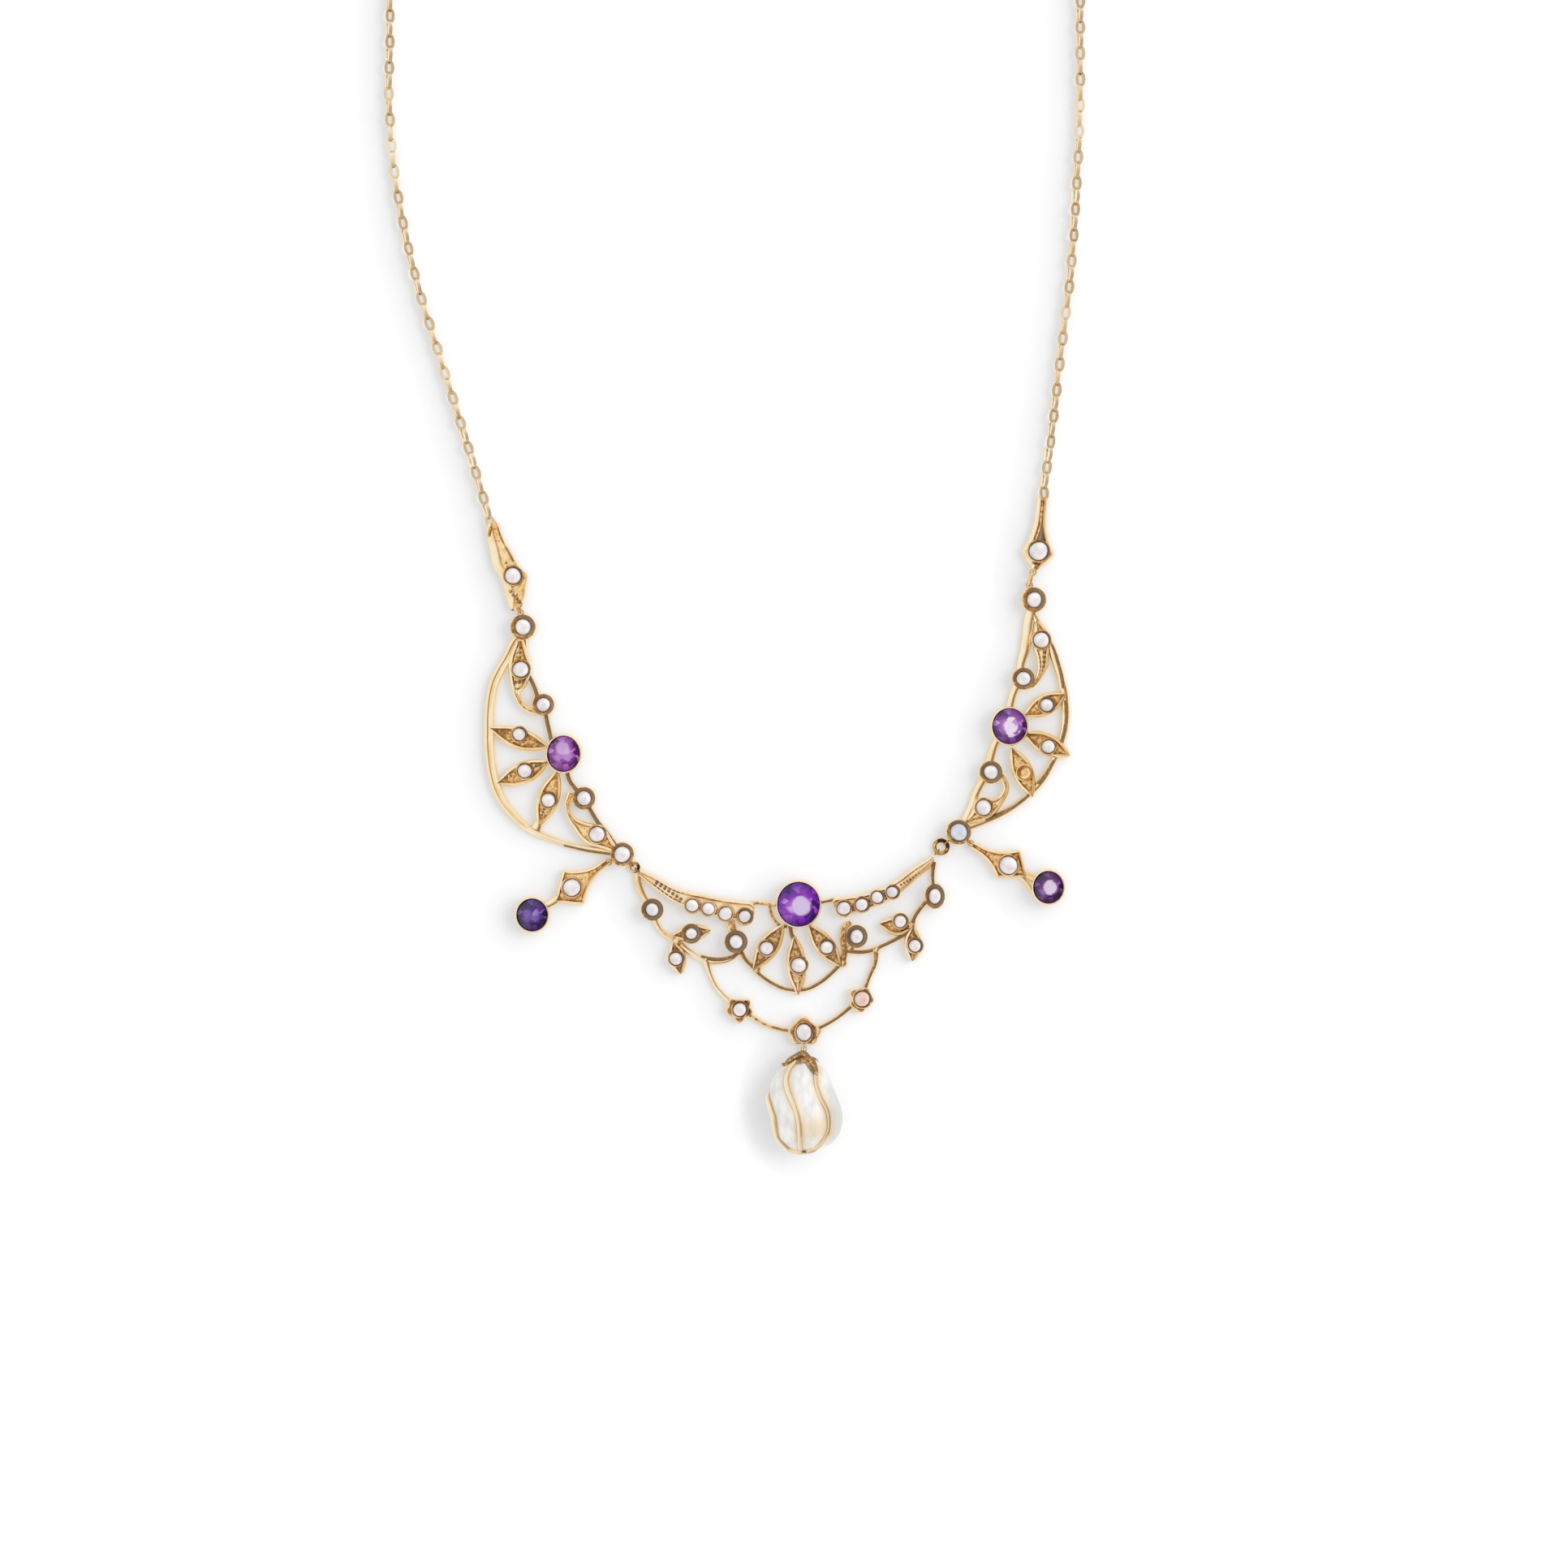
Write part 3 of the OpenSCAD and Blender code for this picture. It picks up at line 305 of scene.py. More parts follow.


# Its tone is the painted reflection of each cell round the middle tone, less the rim's painted
# shade, plus a painted highlight patch, and the painted pale window lies over it by the distance
# from its own place
def amethyst(name, stone):
    material, tree, shader = newMaterial(name, glassLook["shader"])
    place = addNode(tree, "TexCoord").outputs["Object"]
    x, y = plan([stone["x"], stone["y"]])
    scale = perMetre(stone["radius"])
    place = addNode(tree, "Mapping", {
        "Vector": place, "Location": (-x / stone["radius"], -y / stone["radius"], 0),
        "Scale": (scale, scale, scale)}).outputs[0]
    cells = addNode(tree, "TexVoronoi", {
        "Vector": place, "Scale": stone["cells"], "Randomness": glassLook["uneven"]},
        voronoi_dimensions="2D", distance="CHEBYCHEV").outputs["Color"]
    # Painted reflections of the inner facets, as dark and bright cells
    facetReflections = addNode(tree, "SeparateColor", {"Color": cells}).outputs[0]
    flat = addNode(tree, "VectorMath", {0: place, 1: (1, 1, 0)}, operation="MULTIPLY").outputs[0]
    out = addNode(tree, "VectorMath", {0: flat}, operation="LENGTH").outputs["Value"]
    # The rim is darkened by painted shade
    rim = addNode(tree, "MapRange", {"Value": out, **limits(glassLook["rimShadeLimits"])}).outputs[0]
    tone = addNode(tree, "Math", {
        0: facetReflections, 1: stone["cut"], 2: glassLook["level"] - stone["cut"] / 2},
        operation="MULTIPLY_ADD").outputs[0]
    tone = addNode(tree, "Math", {0: tone, 1: rim}, operation="SUBTRACT").outputs[0]
    highlightX, highlightY, highlightReach, highlightStrength = stone["highlightPatch"]
    windowX, windowY, windowReach, windowShare, ragged = stone["window"]
    offset, far = [
        addNode(tree, "VectorMath", {0: flat, 1: middle}, operation="DISTANCE").outputs["Value"]
        for middle in ((highlightX, highlightY, 0), (windowX, windowY, 0))]
    # A painted highlight patch
    paintedHighlight = addNode(tree, "MapRange", {"Value": offset, **limits((highlightReach, 0.0, 0.0, highlightStrength))},
                  interpolation_type="SMOOTHSTEP").outputs[0]
    tone = addNode(tree, "Math", {0: tone, 1: paintedHighlight}, operation="ADD").outputs[0]
    body = addNode(tree, "ValToRGB", {"Fac": tone}, stops=stone["tones"]).outputs["Color"]
    far = addNode(tree, "Math", {0: facetReflections, 1: ragged, 2: far}, operation="MULTIPLY_ADD").outputs[0]
    outwards, inwards = glassLook["soft"]
    # The painted pale window, where light passes straight through
    pale = addNode(tree, "MapRange", {"Value": far, **limits((
        windowReach + outwards + ragged / 2, windowReach - inwards + ragged / 2, 0.0,
        windowShare))}, interpolation_type="SMOOTHSTEP").outputs[0]
    colour = addNode(tree, "Mix", {0: pale, 6: body, 7: linear(stone["pale"])},
                     data_type="RGBA").outputs[2]
    fill(tree, shader, {"Base Color": colour})
    return material


# Baroque blister of nacre: pearly white, lumpy, glossy in places, with a tan blotch low down
# and a faint green-grey light at its thin right edge
dropLook = {
    "cloud": 1.6, "streaks": (1.3, 0.6, 1), "fine": 0.9, "bump": 0.35, "depth": 0.04,
    "tones": [(0.32, "#F8F6F3"), (0.5, "#EAE9E7"), (0.68, "#D8D8D8")],
    # The blotch's place and reach in millimetres, how much shorter it is along the drop, how ragged
    # its edge is and how much it covers
    "blotch": (100.6, 138.7), "blotchReach": 4.2, "squash": 1.7, "ragged": 1.6, "blotchShare": 0.62,
    # Where the light at the right edge starts and is full, and how much it covers
    "edge": (-2.4, 0.4), "edgeX": 103.2, "edgeShare": 0.85, "soilShare": 0.75,
    "shader": {"Roughness": 0.3, "IOR": 1.53, "Coat Weight": 0.6, "Coat Roughness": 0.1},
}


# Its colour is a ramp of streaky clouds, under a blotch by the distance from its place, a light by
# the way across to the right edge, and soil by the grime attribute
def baroqueNacre():
    material, tree, shader = newMaterial("baroque_nacre", dropLook["shader"])
    place = addNode(tree, "TexCoord").outputs["Object"]
    streaky = addNode(tree, "Mapping", {
        "Vector": place, "Scale": dropLook["streaks"]}).outputs[0]
    clouds = addNode(tree, "TexNoise", {
        "Vector": streaky, "Scale": perMetre(dropLook["cloud"]), "Detail": 4.0}).outputs["Fac"]
    body = addNode(tree, "ValToRGB", {"Fac": clouds}, stops=dropLook["tones"]).outputs["Color"]
    x, y = plan(dropLook["blotch"])
    squash = dropLook["squash"]
    spot = addNode(tree, "Mapping", {
        "Vector": place, "Location": (-x, -y * squash, 0),
        "Scale": (perMetre(1), squash * perMetre(1), 0)}).outputs[0]
    far = addNode(tree, "VectorMath", {0: spot}, operation="LENGTH").outputs["Value"]
    ragged = addNode(tree, "Math", {
        0: clouds, 1: dropLook["ragged"], 2: -dropLook["ragged"] / 2},
        operation="MULTIPLY_ADD").outputs[0]
    far = addNode(tree, "Math", {0: far, 1: ragged}, operation="ADD").outputs[0]
    tan = addNode(tree, "MapRange", {
        "Value": far, **limits((dropLook["blotchReach"], 0.0, 0.0, dropLook["blotchShare"]))},
        interpolation_type="SMOOTHSTEP").outputs[0]
    across = addNode(tree, "SeparateXYZ", {0: place}).outputs["X"]
    first, last = [(dropLook["edgeX"] - sheet["middleX"] + step) * sheet["mm"]
                   for step in dropLook["edge"]]
    green = addNode(tree, "MapRange", {
        "Value": across, **limits((first, last, 0.0, dropLook["edgeShare"]))},
        interpolation_type="SMOOTHSTEP").outputs[0]
    mark = addNode(tree, "Attribute", attribute_name="grime").outputs["Fac"]
    soil = addNode(tree, "Math", {0: mark, 1: dropLook["soilShare"]},
                   operation="MULTIPLY").outputs[0]
    for share, colour in ((tan, "#E4C795"), (green, "#BEC1BC"), (soil, "#E0C496")):
        body = addNode(tree, "Mix", {0: share, 6: body, 7: linear(colour)},
                       data_type="RGBA").outputs[2]
    fine = addNode(tree, "TexNoise", {
        "Vector": place, "Scale": perMetre(dropLook["fine"]), "Detail": 2.0}).outputs["Fac"]
    bumps = addNode(tree, "Bump", {"Height": fine, "Strength": dropLook["bump"],
                                   "Distance": dropLook["depth"] * sheet["mm"]}).outputs[0]
    fill(tree, shader, {"Base Color": body, "Normal": bumps})
    return material


# A wire's height, sides of its section, steps for each span of its route, squareness, share of the
# height that the thinnest wire keeps, and how much darker a dark wire is painted, as shade
wireSizes = {"height": 0.8, "around": 16, "steps": 5, "square": 0.85, "thin": (0.62, 0.38),
             "low": 0.02, "under": 0.5, "crest": (0.7, 0.22), "dark": 0.6}


# A wire: the smooth curve of its route carries a rounded section, whose place across is half the
# width times cos(a)^e and whose height swings about its middle with sin(a)^e. A darker spine
# runs along its top, and its underside is painted darker, as shade.
def wire(route, spine=0.0, height=wireSizes["height"], grime=0.0, low=wireSizes["low"]):
    line = curveThrough(plan(route), wireSizes["steps"])
    turns = roundTurns(wireSizes["around"])
    across, up = [squared(w, wireSizes["square"]) for w in (np.cos(turns), np.sin(turns))]
    ahead = unit(np.gradient(line[:, :2], axis=0))
    half = line[:, 2:3] / 2
    least, more = wireSizes["thin"]
    top = height * (least + more * np.minimum(1, 2 * half))
    points = np.empty((len(line), len(turns), 3))
    points[..., 0] = line[:, :1] - ahead[:, 1:] * half * across
    points[..., 1] = line[:, 1:2] + ahead[:, :1] * half * across
    points[..., 2] = low + top / 2 * (1 + up)
    # The underside is painted darker, as shade
    under = np.clip(-np.sin(turns), 0, 1) * wireSizes["under"]
    start, reach = wireSizes["crest"]
    crest = np.clip((np.sin(turns) - start) / reach, 0, 1) * spine
    return skin(points, grime + under + crest)


# Height of a tray above the surface, its rim's width, its inner slope's width, how deep its floor
# is sunk, the shares of that depth from slope to slope, and the steps for each span of its edges
traySizes = {"height": 1.1, "rim": 0.42, "slope": 0.1, "sink": 0.28, "leastLean": 0.45,
             "sunk": [[0.3, 1, 0.94, 0.9, 0.94, 1, 0.3]], "room": 0.8, "steps": 4}


# A tray between two edges: from edge to edge run an outer wall, a rounded rim, an inner slope and
# a sunk floor. Each offset is measured inwards along the chord between the edges, corrected for
# the lean of the edge, and squeezed where the edges are close. The floor's grime grows from the
# middle of the tray towards both of its ends.
# Each rim has its own darkness, partly tarnish and partly painted shade, and the foot of its wall
# is painted a little darker, as shade.
def tray(left, right, rims=(1, 1), height=traySizes["height"], sink=traySizes["sink"],
         floorGrime=0.4, rimGrime=(0, 0)):
    span = right - left
    width = np.maximum(np.linalg.norm(span, axis=1), 0.03)[:, None]
    chord = span / width
    halves = []
    for edge, rim in zip((left, right), rims):
        run = unit(np.gradient(edge, axis=0))
        lean = np.abs(chord[:, 0] * run[:, 1] - chord[:, 1] * run[:, 0])[:, None]
        broad = traySizes["rim"] * rim
        offsets = [0.1, 0.0, 0.0, 0.22 * broad, 0.8 * broad, broad, broad + traySizes["slope"]]
        halves.append(np.array(offsets) / np.clip(lean, traySizes["leastLean"], 1))
    full = halves[0][:, -1:] + halves[1][:, -1:]
    squeeze = np.minimum(1, width * traySizes["room"] / full)
    shares = [half * squeeze / width for half in halves]
    middle = np.linspace(0.25, 0.75, 3)
    inner = shares[0][:, -1:] * (1 - middle) + (1 - shares[1][:, -1:]) * middle
    across = np.hstack([shares[0], inner, 1 - shares[1][:, ::-1]])
    wall = [0.02, 0.25, height - 0.14, height - 0.02, height]
    wall = np.broadcast_to(wall, (len(width), len(wall)))
    sunk = height - sink * squeeze ** 1.5 * traySizes["sunk"]
    tall = np.hstack([wall, sunk, wall[:, ::-1]])
    floor = floorGrime * (0.4 + 0.6 * np.abs(np.linspace(-1, 1, len(left))))[:, None]
    # Rim grime and painted shade, a little more at the foot of the wall
    sides = [[floor * 0 + step for step in (r + 0.08, r, r - 0.04, r, r + 0.02)]
             + [floor / 2 + r / 2, floor + 0.1] for r in rimGrime]
    grime = np.hstack(sides[0] + [floor] * 3 + sides[1][::-1])
    flats = left[:, None] + span[:, None] * across[..., None]
    return skin(np.dstack([flats, tall]), grime)


# A flat strip along a route, as a tray whose edges lie half its width on either side
def band(route, **more):
    line = curveThrough(plan(route), wireSizes["steps"])
    ahead = unit(np.gradient(line[:, :2], axis=0))
    aside = np.stack([-ahead[:, 1], ahead[:, 0]], 1) * line[:, 2:3] / 2
    return tray(line[:, :2] + aside, line[:, :2] - aside, **more)


# The second rim of a leaf is painted darker than the first, as shade
leafSizes = {"rows": 15, "point": 0.05, "rimGrime": (0.02, 0.1)}


# A pointed leaf: two equal arcs through root and tip, as far apart as its width, with rows set
# closer towards the points
def leaf(root, tip, spread, bend=0.0, floorGrime=0.55):
    ends = plan([root, tip])
    way = ends[1] - ends[0]
    length = np.linalg.norm(way)
    across = np.array([-way[1], way[0]]) / length
    u = -np.cos(np.linspace(0, np.pi, leafSizes["rows"]))
    radius = (length**2 + spread**2) / (4 * spread)
    half = np.sqrt(radius**2 - (u * length / 2) ** 2) - (radius - spread / 2)
    half = np.maximum(half, leafSizes["point"])[:, None]
    axis = ends[0] + way * ((u + 1) / 2)[:, None] + across * (bend * (1 - u**2))[:, None]
    return tray(axis - across * half, axis + across * half, floorGrime=floorGrime,
                rimGrime=leafSizes["rimGrime"])


# A tray whose edges are given row by row, as left place and right place
def trayBetween(rows, **more):
    line = curveThrough(rows, traySizes["steps"])
    return tray(plan(line[:, :2]), plan(line[:, 2:]), **more)


kiteSizes = {"neck": 0.8, "flare": 2.6, "bulge": 0.1, "rows": 29, "beside": 0.01, "point": 0.08}


# A kite: the half widths grow by a power of the way from its neck to its two side corners, and
# shrink to its far corner in a parabola that bulges a little outwards
def kite(neck, sideA, far, sideB, neckWidth=kiteSizes["neck"], flare=kiteSizes["flare"], **more):
    corners = plan([neck, sideA, far, sideB])
    way = corners[2] - corners[0]
    length = np.linalg.norm(way)
    way /= length
    across = np.array([-way[1], way[0]])
    sides = corners[[1, 3]] - corners[0]
    stops = sides @ way
    beside = kiteSizes["beside"]
    t = np.sort(np.concatenate([
        np.linspace(0, length, kiteSizes["rows"]), stops - beside, stops + beside]))
    edges = []
    for stop, reach in zip(stops, sides @ across):
        first = np.clip(t / stop, 0, 1)
        second = np.clip((t - stop) / (length - stop), 0, 1)
        half = neckWidth / 2 + (abs(reach) - neckWidth / 2) * first**flare - abs(reach) * second
        half += kiteSizes["bulge"] * 4 * second * (1 - second)
        half = np.maximum(half, kiteSizes["point"])[:, None]
        edges.append(corners[0] + way * t[:, None] + np.sign(reach) * across * half)
    return tray(*edges, **more)


# A turned form: each profile row is a distance from the axis and a height, and the distances may
# change round the axis. It can be stretched along x and y.
def turned(place, distances, heights, grime, around=28, stretch=(1, 1), loop=False):
    x, y = plan(place)
    turns = roundTurns(around)
    distances = np.reshape(distances, (len(heights), -1)) * np.ones(around)
    points = np.stack([
        x + distances * np.cos(turns) * stretch[0], y + distances * np.sin(turns) * stretch[1],
        np.reshape(heights, (-1, 1)) * np.ones(around)], -1)
    return skin(points, np.reshape(grime, (len(heights), -1)), loop)


# Sizes of a round cup and of the cup in a leaf: gap and wall round the pearl, height of rim and of
# the pearl's middle, what the wall is wider by, and how far the lip's painted shade swings round it
cupSizes = {"gap": 0.05, "wall": 0.22, "cupRim": 1.9, "leafRim": 1.45, "cupPearl": 1.6,
            "leafPearl": 1.25, "cupWide": 0.15, "leafWide": 0.0, "cupSwing": 0.24,
            "leafSwing": 0.5, "pearlShare": 0.97, "shrink": 0.25, "shrinkFrom": 0.6, "around": 28}


# Share of a pearl's radius that shows clean inside a ring that is so dark
def shown(dark):
    return cupSizes["pearlShare"] - cupSizes["shrink"] * max(0, dark - cupSizes["shrinkFrom"])


# A round cup: up its outer wall, over a thin lip and down an inner slope to its floor. Lip and
# slope are darkened by tarnish and painted shade, and the lip is painted darker towards the right,
# by the cosine of the angle round it, as shade.
def cup(x, y, radius, seat, dark, wall=cupSizes["wall"], stretch=(1, 1)):
    rim = cupSizes[seat + "Rim"]
    outer = radius + cupSizes["gap"] + wall + cupSizes[seat + "Wide"]
    inner = radius * shown(dark)
    lip = (outer - inner) / 2
    distances = [outer * 0.8, outer - 0.04, outer - 0.02, outer, outer - 0.03, outer - 0.1,
                 outer - lip, inner + 0.04, inner * 0.96, inner * 0.8]
    heights = [0.02, 0.06, rim * 0.5, rim - 0.3, rim - 0.1, rim, rim - 0.02, rim - 0.1,
               rim - 0.28, rim - 0.8]
    shadeSwing = cupSizes[seat + "Swing"]
    clean = np.array([[0.25, 0.1, 0, 0, 0, 0, 0, 0.05, 0.25, 0.5]]).T
    dirtAndShade = np.array([[0, 0, 0.1, 0.35, 0.9, 1.2, 1.3, 1.2, 0.7, 0]]).T
    turns = roundTurns(cupSizes["around"])
    # Tarnish and painted shade on lip and slope, more towards the right as painted shade
    grime = clean + dark * dirtAndShade * (1 - shadeSwing + shadeSwing * np.cos(turns - 0.5))
    return turned((x, y), distances, heights, grime, cupSizes["around"], stretch)


# Rows and sides of a pearl, how far its two waves swell, and the painted reflection on its crown:
# strength, place and reach
pearlSizes = {"rows": 15, "around": 24, "swell": (0.02, 0.015), "crownReflection": 0.8,
              "reflectionAt": (0.1, -0.12), "reflectionReach": 0.42, "soilAndShade": (0.3, 0.5)}


# A pearl: a sphere of latitude rows whose radius swells and shrinks with two slow waves. Its
# grime, dirt and painted shade together, rises below its girdle, and below zero it stands for a
# painted grey reflection on its crown, a bell curve of the distance from a place beside the top.
def pearl(x, y, radius, seat, dark, stretch=(1, 1)):
    tilt = np.linspace(0.12, np.pi - 0.12, pearlSizes["rows"])[:, None]
    turn = roundTurns(pearlSizes["around"])
    phase = chance.uniform(0, 2 * np.pi, 3)
    first, second = pearlSizes["swell"]
    size = radius * shown(dark) * (
        1 + first * np.sin(tilt) * np.sin(2 * turn + phase[0])
        + second * np.sin(tilt * 2 + phase[1]) * np.cos(3 * turn + phase[2]))
    ball = ballAt(tilt, turn)
    middle = np.array([*plan([x, y]), cupSizes[seat + "Pearl"]])
    aside = np.linalg.norm(ball[..., :2] - pearlSizes["reflectionAt"], axis=-1)
    # A painted grey reflection on the crown
    crownReflection = pearlSizes["crownReflection"] * np.exp(-(aside / pearlSizes["reflectionReach"]) ** 2) * (tilt < 1.5)
    least, more = pearlSizes["soilAndShade"]
    # Dirt and painted shade below the girdle, where it sinks into its cup
    soilAndShade = np.clip((tilt - 0.9) / 0.65, 0, 1) * (least + more * min(dark, 1))
    return skin(middle + ball * size[..., None] * (*stretch, 1), soilAndShade - crownReflection)


grainSizes = {"rows": 4, "around": 7, "top": 0.75, "foot": 0.75}


# Grains: low domes evenly spaced between two sheet places, each a few rings of latitude
def grainRow(start, end, count, radius=0.17, height=0.78, grime=0.25):
    t = np.linspace(0, 1, count)[:, None]
    places = plan(np.array(start) * (1 - t) + np.array(end) * t)
    tilt = np.linspace(0.35, np.pi - 0.5, grainSizes["rows"])[:, None]
    ball = ballAt(tilt, roundTurns(grainSizes["around"])) * (1, 1, grainSizes["top"])
    middles = np.column_stack([places, np.full(count, height)])
    # Their feet are painted darker, as shade
    foot = grainSizes["foot"] * np.clip((tilt - 0.9) / 0.8, 0, 1)
    return skin(middles[:, None, None] + radius * ball, grime + foot)


# A ring of round wire: its middle line is a circle square to the given axis. For a flat ring the
# turn starts at the top of the sheet and goes to the left.
def ringOf(centre, axis, radius, wireRadius, around=28, section=10, grime=0.3):
    axis = unit(np.array(axis, float))
    first = unit(np.cross(axis, (0.3, 0.2, 1.0) if abs(axis[2]) < 0.9 else (1, 0, 0)))
    second = np.cross(axis, first)
    turn = roundTurns(around)[:, None, None]
    roll = roundTurns(section)[None, :, None]
    out = np.cos(turn) * first + np.sin(turn) * second
    points = centre + out * (radius + wireRadius * np.cos(roll)) + axis * wireRadius * np.sin(roll)
    return skin(points, grime, loop=True)


# Ring that stands upright on the sheet, square to the direction from one place to another
def uprightRing(middle, facing, radius, wireRadius, height, **more):
    x, y = plan(middle)
    tx, ty = plan(facing[:2])
    return ringOf(np.array([x, y, height]), (-(ty - y), tx - x, 0), radius, wireRadius, **more)


# Heights of a stone's parts, what it is wider by than its radius, radii of its table, crown and
# base corners as shares, how far up the crown and down the base they stand, and the holder's lip,
# wall, gap and hole
stoneSizes = {"girdle": 2.0, "crown": 0.8, "pavilion": 1.5, "band": 0.08, "spread": 0.05,
              "table": 0.5, "crownOut": 0.76, "crownUp": 0.52, "baseOut": 0.45, "baseDown": 0.62,
              "lip": 0.15, "wall": 0.22, "gap": 0.05, "hole": 0.62}


# A stone's holder: an open band whose section goes up the wall, over a thin lip, down to a ledge
# under the stone and down its round hole
def holder(stone):
    r = stone["radius"]
    outer = r + stoneSizes["gap"] + stoneSizes["wall"]
    top = stoneSizes["girdle"] + stoneSizes["lip"]
    hole = r * stoneSizes["hole"]
    distances = [hole + 0.1, outer - 0.12, outer - 0.05, outer, outer - 0.02, outer - 0.06,
                 r + 0.12, r + 0.06, r + 0.06, r + 0.02, hole + 0.03, hole]
    heights = [0.02, 0.02, 0.4, top - 0.5, top - 0.1, top - 0.01, top, top - 0.04, top - 0.2,
               1.3, 1.2, 0.3]
    grime = [0.3, 0.25, 0.0, -0.15, -0.15, -0.15, -0.1, 0.1, 0.5, 0.9, 0.8, 0.5]
    return turned((stone["x"], stone["y"]), distances, heights, grime, 40,
                  stretch=stone["stretch"], loop=True)


# A round brilliant: rings of corner points at table, crown, girdle, pavilion and culet, joined
# by flat facets. Ring k has its corners at equal angles, shifted by half a step where facets
# interlock.
def brilliant(stone):
    r = stone["radius"] + stoneSizes["spread"]
    low = stoneSizes["girdle"] - stoneSizes["band"]
    high = stoneSizes["girdle"]
    step = np.pi / 8
    even, odd = np.arange(8) * 2 * step, np.arange(8) * 2 * step + step
    fine = np.arange(16) * step
    rings = [
        (even, stoneSizes["table"], high + stoneSizes["crown"]),
        (odd, stoneSizes["crownOut"], high + stoneSizes["crown"] * stoneSizes["crownUp"]),
        (fine, 1.0, high), (fine, 1.0, low),
        (odd, stoneSizes["baseOut"], low - stoneSizes["pavilion"] * stoneSizes["baseDown"]),
    ]
    x, y = plan([stone["x"], stone["y"]])
    places = np.vstack([
        np.stack([
            x + np.cos(a + stone["turn"]) * share * r * stone["stretch"][0],
            y + np.sin(a + stone["turn"]) * share * r * stone["stretch"][1],
            np.full(len(a), z)], 1)
        for a, share, z in rings
    ] + [[[x, y, high + stoneSizes["crown"]]], [[x, y, low - stoneSizes["pavilion"]]]])
    k = np.arange(8)
    n = (k + 1) % 8
    table, crown, girdle, under, base = 0, 8, 16, 32, 48
    e, o, e2 = 2 * k, 2 * k + 1, (2 * k + 2) % 16
    tris = np.vstack([np.stack(f, 1) for f in (
        (np.full(8, 56), table + k, table + n),
        (table + k, crown + k, table + n),
        (crown + k, girdle + e, girdle + o), (crown + k, girdle + o, girdle + e2),
        (under + o, under + e, base + k), (under + e2, under + o, base + k),
    )])
    last = (k - 1) % 8
    quads = np.vstack([np.stack(f, 1) for f in (
        (table + k, crown + last, girdle + e, crown + k),
        (girdle + e, under + e, under + o, girdle + o),
        (girdle + o, under + o, under + e2, girdle + e2),
        (under + e, base + last, np.full(8, 57), base + k),
    )])
    places[:, 2] += (places[:, 0] - x) * stone["lean"][0] + (places[:, 1] - y) * stone["lean"][1]
    return places, quads, tris, np.zeros(len(places))


# Radius of an outline at each angle round a place: where the ray meets the outline's sides, which
# bow inwards by a share of their length
def rayRadii(outline, place, turns, bow):
    corners = plan(outline)
    along = np.roll(corners, -1, 0) - corners
    t = np.arange(4)[None, :, None] / 4
    inwards = np.stack([-along[:, 1], along[:, 0]], 1)
    middle = plan(place)
    inwards *= np.sign(np.einsum("nc,nc->n", inwards, middle - corners))[:, None]
    dense = corners[:, None] + along[:, None] * t + inwards[:, None] * bow * 4 * t * (1 - t)
    a = dense.reshape(-1, 2) - middle
    b = np.roll(a, -1, 0)
    d = np.stack([np.cos(turns), np.sin(turns)], 1)
    side = b - a
    cross = d[:, None, 0] * side[:, 1] - d[:, None, 1] * side[:, 0]
    cross = np.where(np.abs(cross) < 1e-9, 1e-9, cross)
    reach = (a[:, 0] * side[:, 1] - a[:, 1] * side[:, 0]) / cross
    share = (a[:, 0] * d[:, None, 1] - a[:, 1] * d[:, None, 0]) / cross
    hit = (share >= -1e-6) & (share <= 1 + 1e-6) & (reach > 0)
    return np.where(hit, reach, 0).max(1)


# How a star's sides bow, its height, how deep its floor is sunk, its sides, and how many waves
# round the place its outline keeps
starSizes = {"bow": 0.08, "height": 1.15, "sink": 0.16, "around": 60, "waves": 8}


# A star: the outline's radius, kept to its first few waves round the place so that its points
# are blunt, less an inset in millimetres for the wall and rim. The sunk floor stays within a
# circle, so that the points are solid.
def star(outline, place, floorGrime, floor=1.3, bow=starSizes["bow"]):
    around, height = starSizes["around"], starSizes["height"]
    wave = np.fft.rfft(rayRadii(outline, place, roundTurns(around), bow))
    wave[starSizes["waves"] + 1:] = 0
    radii = np.fft.irfft(wave, around)
    insets = np.array([[0.12, 0, 0, 0.06, 0.2]]).T
    sunk = np.minimum(radii - 0.3, floor)
    distances = np.vstack([radii - insets, [sunk, sunk - 0.12, sunk * 0.7, sunk * 0.4]])
    heights = [0.02, 0.2, height - 0.2, height - 0.04, height, height - 0.08]
    heights += [height - starSizes["sink"]] * 3
    grime = np.array([0.2, 0.05, 0.1, 0.1, 0.25, 0.45, 0.8, 1, 1]) * floorGrime
    return turned(place, distances, heights, grime, around)


# A knob of solder: a low dome, by the sine of the tilt across and its cosine up
def knob(x, y, r, top):
    tilt = np.linspace(np.pi / 2, 0.2, 6)
    distances = np.append(r * 0.9, r * np.sin(tilt))
    heights = np.append(0.03, top * (0.45 + 0.55 * np.cos(tilt)))
    return turned((x, y), distances, heights, [0.15] * 7, 18)


print("shapes defined")

